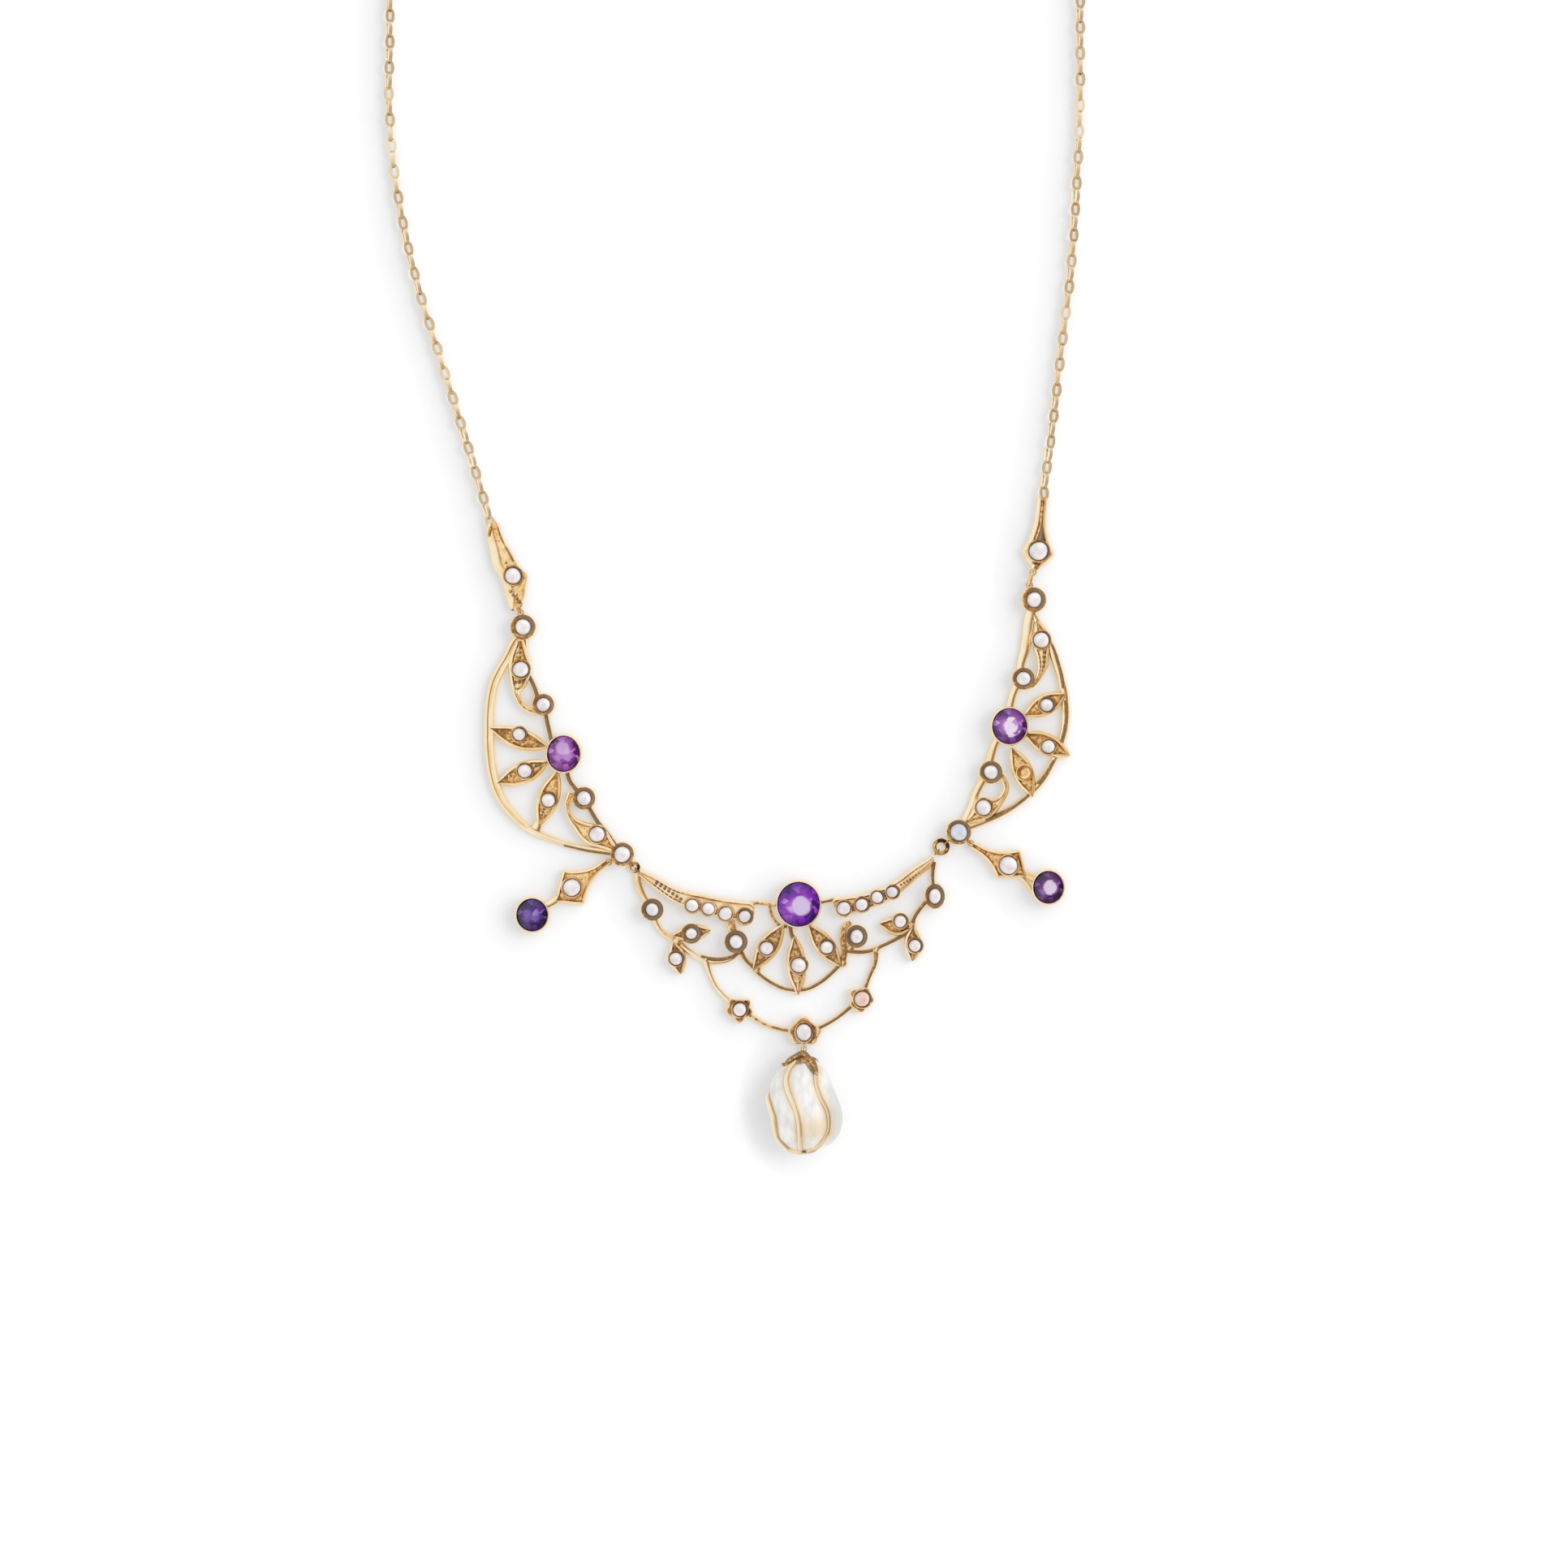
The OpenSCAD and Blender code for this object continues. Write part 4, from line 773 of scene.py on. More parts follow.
# Each pearl: node, sheet place, radius, seat, and how dark its ring is, by tarnish and painted
# shade
leftPearls = [
    ("left_pearl_top", 64.5, 77.3, 1.05, "cup", 0.7),
    ("left_pearl_upper_comma", 64.2, 82.5, 1.0, "leaf", 0.55),
    ("left_pearl_upper", 67.0, 86.85, 0.92, "cup", 0.7),
    ("left_pearl_leaf_1", 64.0, 90.5, 0.8, "leaf", 0.5),
    ("left_pearl_leaf_2", 64.7, 95.0, 0.88, "leaf", 0.5),
    ("left_pearl_leaf_3", 67.6, 98.6, 0.88, "leaf", 0.55),
    ("left_pearl_lower", 72.0, 98.35, 0.98, "cup", 0.75),
    ("left_pearl_lower_comma", 73.6, 102.8, 0.98, "leaf", 0.4),
    ("left_pearl_junction", 76.7, 105.25, 1.05, "cup", 0.6),
]
rightPearls = [
    ("right_pearl_top", 127.35, 73.95, 0.98, "cup", 0.7),
    ("right_pearl_upper_comma", 128.25, 78.9, 1.0, "leaf", 0.6),
    ("right_pearl_upper", 126.04, 83.64, 0.95, "cup", 0.75),
    ("right_pearl_leaf_1", 128.9, 86.9, 0.85, "leaf", 0.7),
    ("right_pearl_leaf_2", 129.1, 92.0, 0.85, "leaf", 0.4),
    ("right_pearl_lower", 122.05, 95.15, 0.98, "cup", 0.8),
    ("right_pearl_lower_comma", 121.15, 99.5, 0.98, "leaf", 0.4),
    ("right_pearl_junction", 118.08, 102.53, 1.12, "cup", 0.6),
]
centrePearls = [
    ("centre_pearl_festoon_left", 80.4, 112.05, 0.95, "cup", 1.0),
    ("centre_pearl_leaf_left", 85.2, 115.0, 0.82, "cup", 0.95),
    ("centre_pearl_tail_left", 83.3, 118.1, 0.82, "leaf", 0.6),
    ("centre_pearl_scroll_left", 90.7, 116.0, 1.0, "cup", 1.0),
    ("centre_pearl_fan_left", 94.45, 116.8, 0.85, "leaf", 0.4),
    ("centre_pearl_fan_middle", 98.4, 118.9, 0.95, "leaf", 0.4),
    ("centre_pearl_fan_right", 101.85, 116.7, 0.85, "leaf", 0.7),
    ("centre_pearl_scroll_right", 105.53, 115.35, 0.95, "cup", 0.9),
    ("centre_pearl_leaf_right", 110.9, 113.5, 0.78, "leaf", 0.5),
    ("centre_pearl_tail_right", 112.7, 116.5, 0.8, "leaf", 0.7),
    ("centre_pearl_festoon_right", 115.15, 110.4, 0.95, "cup", 0.85),
    ("swag_pearl_left", 91.15, 124.35, 0.88, "leaf", 0.7),
    ("swag_pearl_middle", 99.05, 127.15, 1.0, "leaf", 0.5),
    ("swag_pearl_right", 106.2, 123.05, 0.98, "leaf", 0.5),
]
barPearls = {
    "bar_pearls_left": [
        (85.3, 111.55, 0.8, 0.25), (87.3, 111.95, 0.78, 0.0), (89.4, 112.55, 0.85, 0.1),
        (91.75, 112.9, 0.85, 0.9)],
    "bar_pearls_right": [
        (103.95, 111.9, 0.85, 0.3), (106.15, 111.45, 0.8, 0.65), (108.05, 110.55, 0.75, 0.45),
        (109.9, 109.9, 0.72, 0.55)],
}
kitePearls = [
    ("terminal_pearl_left", 63.25, 71.0, 1.05, "leaf", 0.7),
    ("terminal_pearl_right", 127.9, 67.95, 1.2, "leaf", 0.65),
    ("side_pearl_left", 70.5, 109.35, 1.1, "leaf", 0.2),
    ("side_pearl_right", 124.2, 106.6, 1.15, "leaf", 0.25),
]
# Settings that have been knocked out of round
squeezed = {"centre_pearl_festoon_right": (0.9, 1.12), "centre_pearl_scroll_right": (0.98, 1.03),
            "right_pearl_top": (1.0, 1.04), "swag_pearl_middle": (0.95, 1.1)}
tinted = {"right_pearl_junction": pearlBlue, "swag_pearl_right": pearlPink}
thickWalls = {"left_pearl_top": 0.3, "right_pearl_top": 0.3}


# A cup for each row of pearls, with the wall and the stretch of its name
def cupsFor(rows):
    return [cup(x, y, r, seat, dark, thickWalls.get(name, cupSizes["wall"]),
                squeezed.get(name, (1, 1))) for name, x, y, r, seat, dark in rows]


singles = leftPearls + rightPearls + centrePearls + kitePearls
for name, x, y, r, seat, dark in singles:
    makePiece(name, "nacre", [pearl(x, y, r, seat, dark, squeezed.get(name, (1, 1)))],
              tinted.get(name, pearlWhite))
for node, rows in barPearls.items():
    makePiece(node, "nacre", [pearl(x, y, r, "leaf", dark) for x, y, r, dark in rows],
              pearlWhite)
print("pearls made:", len(singles) + sum(len(rows) for rows in barPearls.values()))

# Each stone: sheet place, radius, stretch, turn and lean of its cut, the painted pale window
# (place, radius and strength as shares of the stone, and how far its facets break its edge), the
# painted highlight patch (place, radius and strength, darkening as painted shade where the strength
# is below zero), and its tones
violet = [(0.08, "#2E0A58"), (0.28, "#5A1692"), (0.5, "#8A2ABA"), (0.75, "#AE62D6"),
          (1.0, "#E2B6F2")]
plum = [(0.06, "#40184F"), (0.28, "#6A2F86"), (0.5, "#9352AE"), (0.75, "#B47CCB"),
        (1.0, "#E2BEEB")]
stones = {
    "amethyst_centre": {"x": 98.4, "y": 111.4, "radius": 2.6, "turn": 0.2, "lean": (0, 0),
                        "stretch": (0.98, 1.03), "window": (0.12, -0.06, 0.42, 0.95, 0.1),
                        "pale": "#DFC9EE", "highlightPatch": (-0.55, -0.25, 0.75, 0.32), "tones": violet,
                        "cut": 0.6, "cells": 3.4},
    "amethyst_left": {"x": 69.5, "y": 92.9, "radius": 2.05, "turn": 0.5, "lean": (0.02, 0.02),
                      "stretch": (0.95, 1.05), "window": (0.02, 0.32, 0.36, 0.8, 0.5),
                      "pale": "#D9B2EA", "highlightPatch": (0.8, 0.4, 0.7, -0.4), "cut": 0.75, "cells": 3.0,
                      "tones": [(0.06, "#451656"), (0.22, "#7E3892"), (0.42, "#A65CB4"),
                                (0.7, "#C48CD2"), (1.0, "#EBCAF0")]},
    "amethyst_right": {"x": 124.35, "y": 89.5, "radius": 2.1, "turn": 0.1, "lean": (0, 0.02),
                       "stretch": (0.98, 1.02), "window": (0.08, -0.04, 0.4, 0.97, 0.5),
                       "pale": "#F7E8FA", "highlightPatch": (-0.55, 0.2, 0.6, 0.3), "tones": plum,
                       "cut": 0.7, "cells": 2.8},
    "amethyst_side_left": {"x": 65.65, "y": 112.7, "radius": 1.88, "turn": 0.3, "lean": (0, 0),
                           "stretch": (0.98, 1.03), "window": (-0.35, 0.1, 0.2, 0.4, 0.3),
                           "pale": "#9A72C4", "highlightPatch": (-0.2, -0.1, 0.9, 0.12),
                           "cut": 0.8, "cells": 2.8,
                           "tones": [(0.05, "#1B0D33"), (0.35, "#3F2470"), (0.62, "#5D3E94"),
                                     (0.85, "#7F5FB4"), (1.0, "#A88ACF")]},
    "amethyst_side_right": {"x": 129.1, "y": 109.3, "radius": 1.82, "turn": 0.0, "lean": (0, 0),
                            "stretch": (0.98, 1.05), "window": (0.12, 0.0, 0.44, 0.95, 0.15),
                            "pale": "#EBD6F0", "highlightPatch": (-0.5, -0.45, 0.6, 0.25),
                            "cut": 0.65, "cells": 2.8,
                            "tones": [(0.08, "#22082E"), (0.35, "#4E1D66"), (0.6, "#7C4391"),
                                      (0.85, "#A274B6"), (1.0, "#CFA6DB")]},
}
for node, stone in stones.items():
    makePiece(node, "cut", [brilliant(stone)], amethyst(node + "_glass", stone),
              smooth=False)
print("stones cut:", len(stones))

# Openwork from its table, in the table's order: wires and dark wires, which are painted darker as
# shade with a darker spine on top and have their own height, a flat strip where there is one,
# straight leaves as root, tip, width, bend and grime of the floor, commas as rows of left and right
# edge, and rows of grains
def openwork(rows):
    skins = [wire(w) for w in rows["wires"]]
    skins += [wire(w, *rows["darkLook"], wireSizes["dark"]) for w in rows["darkWires"]]
    skins += [band(w, height=0.85, sink=0.06, floorGrime=0.12, rimGrime=(-0.1, -0.05))
              for w in rows["strips"]]
    skins += [leaf(*row) for row in rows["leaves"]]
    skins += [trayBetween(comma, floorGrime=rows["commaGrime"]) for comma in rows["commas"]]
    return skins + [grainRow(*row) for row in rows["grains"]]


leftCrescent = {
    "darkLook": (0.25, 0.83), "commaGrime": 0.36,
    "strips": [
        [[64.2, 78.4, 1.2], [63.6, 79.4, 1.6], [62.5, 81.2, 1.15], [61.5, 82.9, 1.15],
         [60.8, 84.6, 1.15], [60.4, 87, 1.2], [60.3, 90, 1.2], [60.4, 93, 1.2],
         [60.9, 96.1, 1.2], [61.8, 98.4, 1.1], [63.2, 100.3, 1.0], [65, 102, 0.85]],
    ],
    "wires": [
        [[64.5, 101.6, 0.75], [66, 102.6, 0.8], [68, 103.4, 0.65], [71, 104.3, 0.55],
         [75.9, 105, 0.75]],
        [[64.3, 78.4, 1.2], [64.2, 79.8, 1.5], [64.2, 81.2, 1.2]],
        [[65.9, 85.7, 0.35], [65.6, 86.7, 0.35], [65.6, 87.7, 0.4]],
        [[66.7, 100.8, 0.8], [66, 102.2, 1.3]],
    ],
    "darkWires": [
        [[65.2, 83.3, 0.45], [65.8, 84.5, 0.5], [66.3, 86, 0.5]],
        [[67.2, 87.6, 0.5], [67.4, 88.8, 0.5], [68, 91.4, 0.5]],
        [[69.8, 94.6, 0.5], [70.2, 96.2, 0.5], [71.1, 97.4, 0.5]],
        [[72.4, 99.2, 0.5], [73.6, 101.2, 0.5], [74.7, 102.6, 0.6], [75.9, 104.4, 0.7]],
        [[69.5, 104.05, 0.45], [72.5, 104.75, 0.5], [75.5, 105.1, 0.6]],
    ],
    "leaves": [
        ([67.7, 92.1], [60.4, 89.7], 2.6, 0.1, 0.62), ([67.7, 93.8], [61.3, 96.5], 2.7, 0.1, 0.6),
        ([68.8, 94.9], [66.4, 101.9], 2.7, 0.0, 0.48),
    ],
    "commas": [
        [[63.6, 79, 64.6, 79], [63, 80.6, 65, 80.4], [62.7, 82, 65.4, 81.8],
         [62.75, 83.2, 65.3, 83.4], [63, 84.6, 64.75, 84.7], [63.4, 85.8, 64.2, 85.3],
         [63.9, 86.8, 64.3, 86], [64.7, 87.6, 64.9, 87], [65.9, 88.1, 66, 87.5]],
        [[69.9, 97.6, 71.2, 97.9], [69.6, 98.9, 70.4, 98.9], [69.75, 100, 70.3, 99.9],
         [70.2, 101.2, 71, 100.8], [70.9, 102.4, 72.2, 101.3], [71.6, 103.4, 73.4, 101.6],
         [72.6, 104.1, 74.6, 102.2], [74, 104.5, 75.4, 103.4], [75.2, 104.9, 75.9, 104.2]],
    ],
    "grains": [
        ([60.9, 89.9], [62.2, 90.3], 4, 0.17, 0.85, 0.7),
        ([66.2, 91.4], [67.2, 91.9], 4, 0.2, 0.8, 0.8), ([65.2, 91.1], [65.8, 91.3], 2),
        ([62.0, 96.0], [63.0, 95.6], 3, 0.2, 0.8, 0.7),
        ([66.1, 94.4], [66.9, 94.1], 4, 0.22, 0.8, 0.8),
        ([66.6, 100.8], [67.1, 99.7], 4, 0.2, 0.8, 0.75), ([68.1, 97.2], [68.6, 95.8], 4),
        ([64.1, 79.8], [64.1, 81.0], 3, 0.2, 0.9, 0.7),
        ([63.5, 84.1], [64.5, 84.0], 3, 0.26, 0.85, 0.85),
        ([63.8, 84.9], [64.1, 84.9], 2, 0.2, 0.8, 0.8),
        ([70.9, 101.3], [72.4, 102.4], 5),
    ],
}
crescentLeft = openwork(leftCrescent) + cupsFor(leftPearls) + [holder(stones["amethyst_left"])]

# Right crescent, whose third leaf has lost its pearl, so that its cup shows bare gold
rightCrescent = {
    "darkLook": (0.1, 1.35), "commaGrime": 0.3, "strips": [],
    "wires": [
        [[127.2, 74.8, 1.3], [126.8, 76.5, 1.3], [126.6, 78, 1.3], [126.3, 80, 1.2],
         [125.8, 81.8, 1], [125.7, 83, 0.9]],
        [[127, 75.4, 0.9], [127.9, 76.8, 0.7], [129, 78.6, 0.8], [129.8, 80.8, 1],
         [130.6, 83.4, 0.95], [131.15, 86, 1.0], [131.2, 89, 1.0], [130.7, 91.4, 0.9],
         [129.7, 93.8, 0.8], [128.4, 96.1, 0.8], [126.5, 98.1, 0.7], [124.4, 99.7, 0.7],
         [122.2, 100.8, 0.8], [119.2, 101.8, 1.1]],
        [[127.1, 84.4, 0.6], [126.6, 84.6, 0.7]],
        [[125.4, 84.3, 0.9], [124.8, 85.6, 0.9], [124.3, 87.6, 0.9]],
        [[123, 90.8, 0.8], [122.4, 92.2, 0.9], [121.8, 94.4, 1]],
        [[121.3, 95.8, 0.9], [120.3, 97.6, 0.9], [119.7, 99.4, 0.9], [118.6, 101.8, 1.1]],
        [[117.3, 103.2, 0.5], [116.9, 103.55, 0.5]],
    ],
    "darkWires": [
        [[129.6, 79.4, 0.3], [130.15, 81, 0.42], [130.75, 83.2, 0.45], [131.0, 84.8, 0.45]],
        [[131.3, 86.3, 0.48], [131.35, 88.6, 0.48], [131.05, 90.3, 0.45], [130.65, 91.7, 0.4]],
        [[129.8, 93.7, 0.42], [128.95, 95.2, 0.42], [127.9, 96.6, 0.42]],
        [[126.8, 97.9, 0.38], [124.6, 99.6, 0.38], [121.4, 101.1, 0.4]],
    ],
    "leaves": [
        ([126.2, 88.2], [131.3, 85.5], 2.6, 0.0, 0.5),
        ([126.1, 90.3], [131.8, 93.1], 2.6, 0.0, 0.62),
        ([124.6, 92.1], [127.2, 98.2], 2.6, 0.1, 0.48),
    ],
    "commas": [
        [[127.6, 76.5, 127.9, 76.5], [127.4, 77.6, 128.7, 77.2], [127.2, 78.8, 129.4, 78.4],
         [127.3, 79.9, 129.3, 79.7], [127.6, 80.9, 129.2, 80.9], [127.75, 82, 129.1, 82.1],
         [127.7, 83, 128.6, 83.1], [127.4, 83.8, 127.9, 84.1], [126.9, 84.4, 127.2, 84.8]],
        [[123.6, 95.3, 123.1, 95.6], [124.3, 96.6, 123.6, 96.9], [124.2, 97.8, 123.3, 97.8],
         [123.6, 98.9, 122.6, 98.4], [122.9, 99.9, 121.4, 98.3], [121.9, 100.8, 120.2, 98.8],
         [120.6, 101.3, 119.8, 99.8], [119.4, 101.5, 119.2, 100.9]],
    ],
    "grains": [
        ([128.6, 80.4], [128.5, 82.7], 5, 0.2, 0.95, 0.85), ([126.9, 87.9], [127.7, 87.5], 3),
        ([130.0, 86.4], [130.5, 86.1], 2), ([127.0, 90.7], [127.9, 91.3], 3),
        ([130.1, 92.5], [130.9, 92.8], 3), ([125.0, 92.9], [125.6, 94.0], 4),
        ([126.5, 96.7], [126.9, 97.4], 3), ([122.6, 99.1], [123.2, 98.5], 3),
    ],
    # The bare cup: its place, the distances and heights of its profile, and its grime
    "bareCup": ((126.2, 95.2), [0.95, 1.09, 1.11, 1.07, 0.97, 0.85, 0.765, 0.51, 0.17],
                [0.02, 0.1, 1.2, 1.42, 1.45, 1.32, 1.0, 0.86, 0.8],
                [0.4, 0.2, 0.1, 0.15, 0.2, 0.3, 0.3, 0.15, 0.5]),
}
crescentRight = openwork(rightCrescent) + cupsFor(rightPearls)
crescentRight += [holder(stones["amethyst_right"]), turned(*rightCrescent["bareCup"])]

# Eyes and rings where the parts hang together, at the places of the part's own loops. A ring is
# place, radius and wire; a link is its two ends, its wire and the radius of its eyes' holes.
loops = {"eyeWire": 0.11, "gap": 0.03, "floor": 0.01, "plainEye": 0.36, "plainHeight": 0.55,
         "standoff": 0.3, "thicker": 0.02, "ringLeft": (78.15, 106.85, 0.53, 0.17),
         "ringRight": (115.95, 104.35, 0.8, 0.22), "panelLeft": (78.75, 107.4),
         "panelRight": (115.15, 105.35), "sideLeft": (74.9, 106.27), "sideRight": (119.9, 104.2),
         "linkLeft": ((63.95, 74.5), (64.15, 75.5), 0.14, 0.26),
         "linkRight": ((127.2, 70.5), (126.75, 72.15), 0.2, 0.32), "starEye": (99, 128.85),
         "flatHole": 0.26, "flatRim": 0.16, "stem": (0.5, 0.6), "stemHeight": 0.42,
         "stemDrop": 0.2}


# Radius of an eye round a ring's wire: the radii of both wires and the gap between them
def eyeRound(ring):
    return ring[3] + loops["eyeWire"] + loops["gap"]


# Height of a ring's middle: the radius of its eye, plus the eye's wire above the floor
def ringHeight(ring):
    return eyeRound(ring) + loops["eyeWire"] + loops["floor"]


# Place at a distance from one sheet place towards another
def towards(start, end, distance):
    start, end = np.array(start[:2], float), np.array(end[:2], float)
    return start + unit(end - start) * distance


# Upright eye where a ring comes nearest to a cup: their distance less the ring's radius
def ringEye(cupRow, ring):
    middle = cupRow[1:3]
    reach = math.dist(middle, ring[:2]) - ring[2]
    return uprightRing(towards(middle, ring, reach), ring, eyeRound(ring), loops["eyeWire"],
                       ringHeight(ring), grime=0.5)


# Distance of a side drop's eye from the middle of its cup: radius, gap, wall and a standoff
def sideReach(cupRow):
    return cupRow[3] + cupSizes["gap"] + cupSizes["wall"] + loops["standoff"]


# Upright eye for a side drop, at that distance from the cup and square to the drop's direction
def sideEye(cupRow, facing):
    return uprightRing(towards(cupRow[1:3], facing, sideReach(cupRow)), facing, loops["plainEye"],
                       loops["eyeWire"], loops["plainHeight"], grime=0.3)


# A flat eye of round wire, and a short stem that starts on it and ends at its part
def flatEye(place, tiedTo, height, hole, grime=0.15):
    wireRadius = loops["flatRim"] / 2 + loops["thicker"]
    radius = hole + wireRadius
    first, last = loops["stem"]
    start = towards(place, tiedTo, radius)
    return [
        ringOf(np.array([*plan(place), height]), (0, 0, 1), radius, wireRadius, grime=grime),
        wire([[*start, first], [*tiedTo, last]], height=loops["stemHeight"],
             low=height - loops["stemDrop"])]


# Height of a link's middle: half its length, plus its wire above the floor
def linkHeight(link):
    return math.dist(*link[:2]) / 2 + link[2] + loops["floor"]


# The flat eye that a terminal's link hangs in, at one of the link's ends
def linkEye(link, end, tiedTo):
    return flatEye(link[end], tiedTo, linkHeight(link), link[3])


crescentLeft += [ringEye(leftPearls[8], loops["ringLeft"]),
                 sideEye(leftPearls[8], loops["sideLeft"])]
crescentLeft += linkEye(loops["linkLeft"], 1, (64.2, 76.1))
crescentRight += [ringEye(rightPearls[7], loops["ringRight"]),
                  sideEye(rightPearls[7], loops["sideRight"])]
crescentRight += linkEye(loops["linkRight"], 1, (127.1, 73))
makePiece("crescent_left", "metal", crescentLeft, goldYellow)
makePiece("crescent_right", "metal", crescentRight, goldYellow)
print("crescents made")

# How dark each jump ring is: the turn to its dark side, and how dark it is all over and on that
# side
for side, (darkTurn, allOver, there) in (
        ("Left", (1.4, 0.1, 0.6)), ("Right", (0.5, 0.25, 0.85))):
    ring, link = loops["ring" + side], loops["link" + side]
    corner = np.maximum(0, np.cos(roundTurns(40) + darkTurn))[:, None]
    makePiece("jump_ring_" + side.lower(), "wire", [
        ringOf(np.array([*plan(ring[:2]), ringHeight(ring)]), (0, 0, 1), ring[2],
               ring[3] + loops["thicker"], 40, 14, allOver + there * corner)],
        goldTarnished)
    middle = (np.array(link[0]) + link[1]) / 2
    makePiece("terminal_link_" + side.lower(), "wire", [
        uprightRing(middle, link[1], math.dist(*link[:2]) / 2, link[2], linkHeight(link),
                    grime=0.3)], goldYellow)

